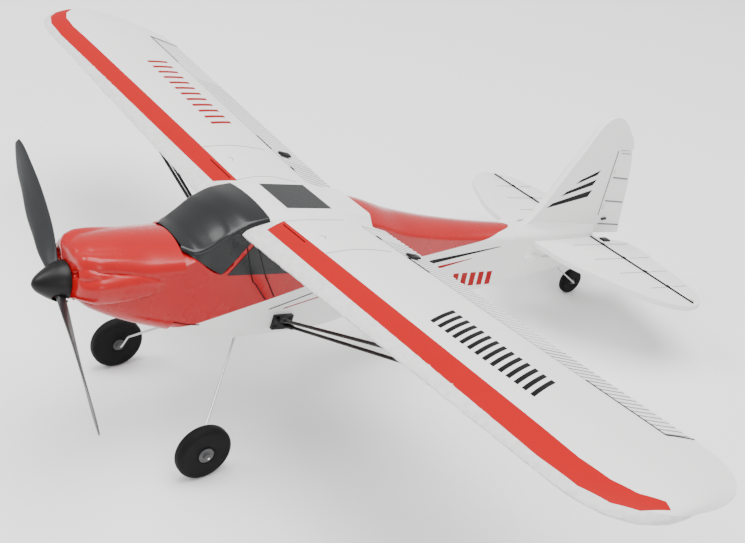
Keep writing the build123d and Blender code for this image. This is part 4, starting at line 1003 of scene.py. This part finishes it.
# ---------------------------------------------------------------- lines on the tail surfaces
STAB_TOP, STAB_GAP_Y, STAB_RIB_REAR, ELEVATOR_RIB_FRONT = -18.95, 252.9, 252.6, 258.4
FIN_HALF, RUDDER_SIDE = 2.1, 1.45
# Each rib of the port stabilizer and elevator: x, front y, rear y
TAIL_RIBS = ((15.0, 225.0, 277.6), (33.0, 225.5, 277.0), (50.0, 229.5, 274.6), (68.0, 237.5, 270.2))


def straight_tube(start, end, radius, count=12):
    a, b = Vector(start), Vector(end)
    return tube_bmesh([a.lerp(b, k / count) for k in range(count + 1)], radius, 8)


def across_tube(x0, x1, radius, count):
    """Line along x on the gap between stabilizer and elevator."""
    return straight_tube((x0, STAB_GAP_Y, STAB_TOP), (x1, STAB_GAP_Y, STAB_TOP), radius, count)


fixed_ribs = [straight_tube((x, y, STAB_TOP), (x, STAB_RIB_REAR, STAB_TOP), 0.2) for x, y, _ in TAIL_RIBS]
moving_ribs = [
    straight_tube((x, ELEVATOR_RIB_FRONT, STAB_TOP), (x, y, STAB_TOP), 0.2) for x, _, y in TAIL_RIBS
]
add_pair("stabilizer_ribs", fixed_ribs, "airframe", SEAM_LINE)
add_pair("elevator_ribs", moving_ribs, "elevator", SEAM_LINE)
# The black line along the gap between stabilizer and elevator, thicker at each rib, is painted shade in the
# gap.
gap_line = [across_tube(3.4, 87.0, 0.75, 40)]
gap_line += [across_tube(x - 0.9, x + 0.9, 1.05, 4) for x, _, _ in TAIL_RIBS]
add_pair("elevator_gap_shade", gap_line, "airframe", BLACK_PRINT_AND_GAP_SHADE)

# The rudder's rib lines are painted shade along the steps between its panels, on both faces.
# Each rudder rib: y, z at its front and rear, radius
RUDDER_RIBS = (
    (255.6, 19.8, 269.6, 19.2, 0.5), (257.0, 4.2, 274.0, 3.5, 0.5),
    (258.6, -11.4, 279.0, -12.2, 0.5), (255.0, 35.6, 263.4, 35.6, 0.25),
)
rudder_rib_shade = [
    straight_tube((RUDDER_SIDE, y0, z0), (RUDDER_SIDE, y1, z1), radius)
    for y0, z0, y1, z1, radius in RUDDER_RIBS
]
add_pair("rudder_rib_shade", rudder_rib_shade, "rudder", RIB_PAINTED_SHADE)


def fin_sheet(corners, lift=0.06, thickness=0.12):
    """Printed sheet on the port face of the fin between four (y, z) corners."""
    grid = [[Vector((FIN_HALF + lift, y, z)) for y, z in line] for line in sheet_points(corners, 12, 4)]
    return plate_bmesh(grid, Vector((-thickness, 0, 0)))


fin_bars = [
    fin_sheet([(205.0, -1.0), (238.0, 7.0), (240.0, 11.5), (209.0, 2.2)]),
    fin_sheet([(214.0, 6.8), (238.5, 14.6), (240.4, 18.4), (217.4, 9.8)]),
    fin_sheet([(223.0, 14.8), (239.0, 21.2), (240.8, 24.4), (226.0, 17.6)]),
]
add_pair("fin_bars", fin_bars, "airframe", BLACK_PRINT_AND_GAP_SHADE)
# Painted shade along the hinge gap at the front of the rudder.
rudder_gap = straight_tube((FIN_HALF, 249.9, 37.4), (FIN_HALF, 254.7, -5.0), 0.35, 30)
add_pair("rudder_gap_shade", [rudder_gap], "airframe", RIB_PAINTED_SHADE)

# ---------------------------------------------------------------- hub caps
HUB_FACE = 3.1
CAP_PROFILE = [(-0.1, 0.0), (-0.1, 3.75), (0.42, 3.75), (0.62, 3.5), (0.66, 1.9), (0.66, 0.0)]
for side, sign in (("left", 1), ("right", -1)):
    cap_centre = (sign * (MAIN_AXLE.x + HUB_FACE), MAIN_AXLE.y, MAIN_AXLE.z)
    cap = make_object("hub_cap_" + side, lathe_bmesh(CAP_PROFILE, cap_centre, (sign, 0, 0)))
    add_piece(cap, "wheel_" + side, GREY_PLASTIC)

# ---------------------------------------------------------------- CAD nodes shown as they are
NODE_MATERIALS = {
    "rod_fairings": WHITE_FOAM, "hinge_rods": STEEL, "tail_servos": SERVO_BLUE, "aileron_servos": SERVO_BLUE,
    "bulkheads": PLYWOOD, "shaft_bearings": BRASS, "gearbox_frame": BLACK_PLASTIC, "motor": MOTOR_CAN,
    "battery": BATTERY_WRAP, "battery_tray": BLACK_PLASTIC, "flight_controller": BOARD_GREEN,
    "main_gear_wire": STEEL, "tail_gear_wire": STEEL, "wheel_collars": GREY_PLASTIC, "wing_struts": CARBON,
    "wing_spar": CARBON, "spinner": BLACK_PLASTIC, "propeller": BLADE_PLASTIC, "prop_adapter": GREY_PLASTIC,
    "prop_shaft": STEEL, "spur_gear": NYLON, "motor_pinion": BRASS, "tyre_left": TYRE_FOAM,
    "tyre_right": TYRE_FOAM, "tail_tyre": TYRE_FOAM, "wheel_hub_left": GREY_PLASTIC,
    "wheel_hub_right": GREY_PLASTIC, "tail_hub": GREY_PLASTIC, "aileron_horn_left": BLACK_PLASTIC,
    "aileron_horn_right": BLACK_PLASTIC, "rudder_horn": BLACK_PLASTIC, "elevator_horn": BLACK_PLASTIC,
    "aileron_servo_arm_left": NYLON, "aileron_servo_arm_right": NYLON, "rudder_servo_arm": NYLON,
    "elevator_servo_arm": NYLON, "aileron_push_rod_left": STEEL, "aileron_push_rod_right": STEEL,
    "rudder_push_rod": STEEL, "elevator_push_rod": STEEL,
}
for node, material in NODE_MATERIALS.items():
    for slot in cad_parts[node].material_slots:
        slot.material = material

# ---------------------------------------------------------------- floor, light and camera
FLOOR_HALF = 6
PAPER = surface_material("floor_paper", (0.93, 0.93, 0.93), 0.9, bump=0.05, patch_mm=400, shade=0.99)
floor_mesh = bpy.data.meshes.new("floor")
floor_corners = [(x * FLOOR_HALF, y * FLOOR_HALF, 0) for x, y in ((-1, -1), (1, -1), (1, 1), (-1, 1))]
floor_mesh.from_pydata(floor_corners, [], [(0, 1, 2, 3)])
floor = link_object("floor", floor_mesh)
paint(floor, [PAPER])

world = bpy.data.worlds.new("studio")
world.use_nodes = True
world.node_tree.nodes["Background"].inputs["Color"].default_value = (1, 1, 1, 1)
world.node_tree.nodes["Background"].inputs["Strength"].default_value = 0.8
bpy.context.scene.world = world


LIGHT_TARGET = Vector((0, 0, 0.08))


def area_light(name, position, size, power):
    """Square light, with position and size in metres and power in watts, aimed at the aeroplane."""
    data = bpy.data.lights.new(name, "AREA")
    data.size = size
    data.energy = power
    lamp = link_object(name, data)
    lamp.location = position
    lamp.rotation_euler = (LIGHT_TARGET - Vector(position)).to_track_quat("-Z", "Y").to_euler()


area_light("top", (0.1, 0.1, 2.0), 1.6, 62)
area_light("key", (-0.6, -1.0, 1.3), 0.7, 14)
area_light("side", (1.6, -0.5, 0.8), 0.8, 5)

# Camera: its place and its own three axes in the airframe frame
LENS_MM, SENSOR_MM = 52.43, 36.0
CAMERA_PLACE = Vector((384.3, -278.6, 183.0))
CAMERA_RIGHT = Vector((0.5706, 0.7698, 0.2862))
CAMERA_DOWN = Vector((0.4804, -0.0303, -0.8765))
CAMERA_AHEAD = Vector((-0.6661, 0.6376, -0.3871))
camera_data = bpy.data.cameras.new("camera")
camera_data.lens = LENS_MM
camera_data.sensor_width = SENSOR_MM
camera_data.clip_start = 0.01
camera = link_object("camera", camera_data)
axes = [STANCE_TURN @ axis for axis in (CAMERA_RIGHT, -CAMERA_DOWN, -CAMERA_AHEAD)]
camera_pose = Matrix(axes).transposed().to_4x4()
camera_pose.translation = STANCE @ CAMERA_PLACE
camera.matrix_world = camera_pose
bpy.context.scene.camera = camera
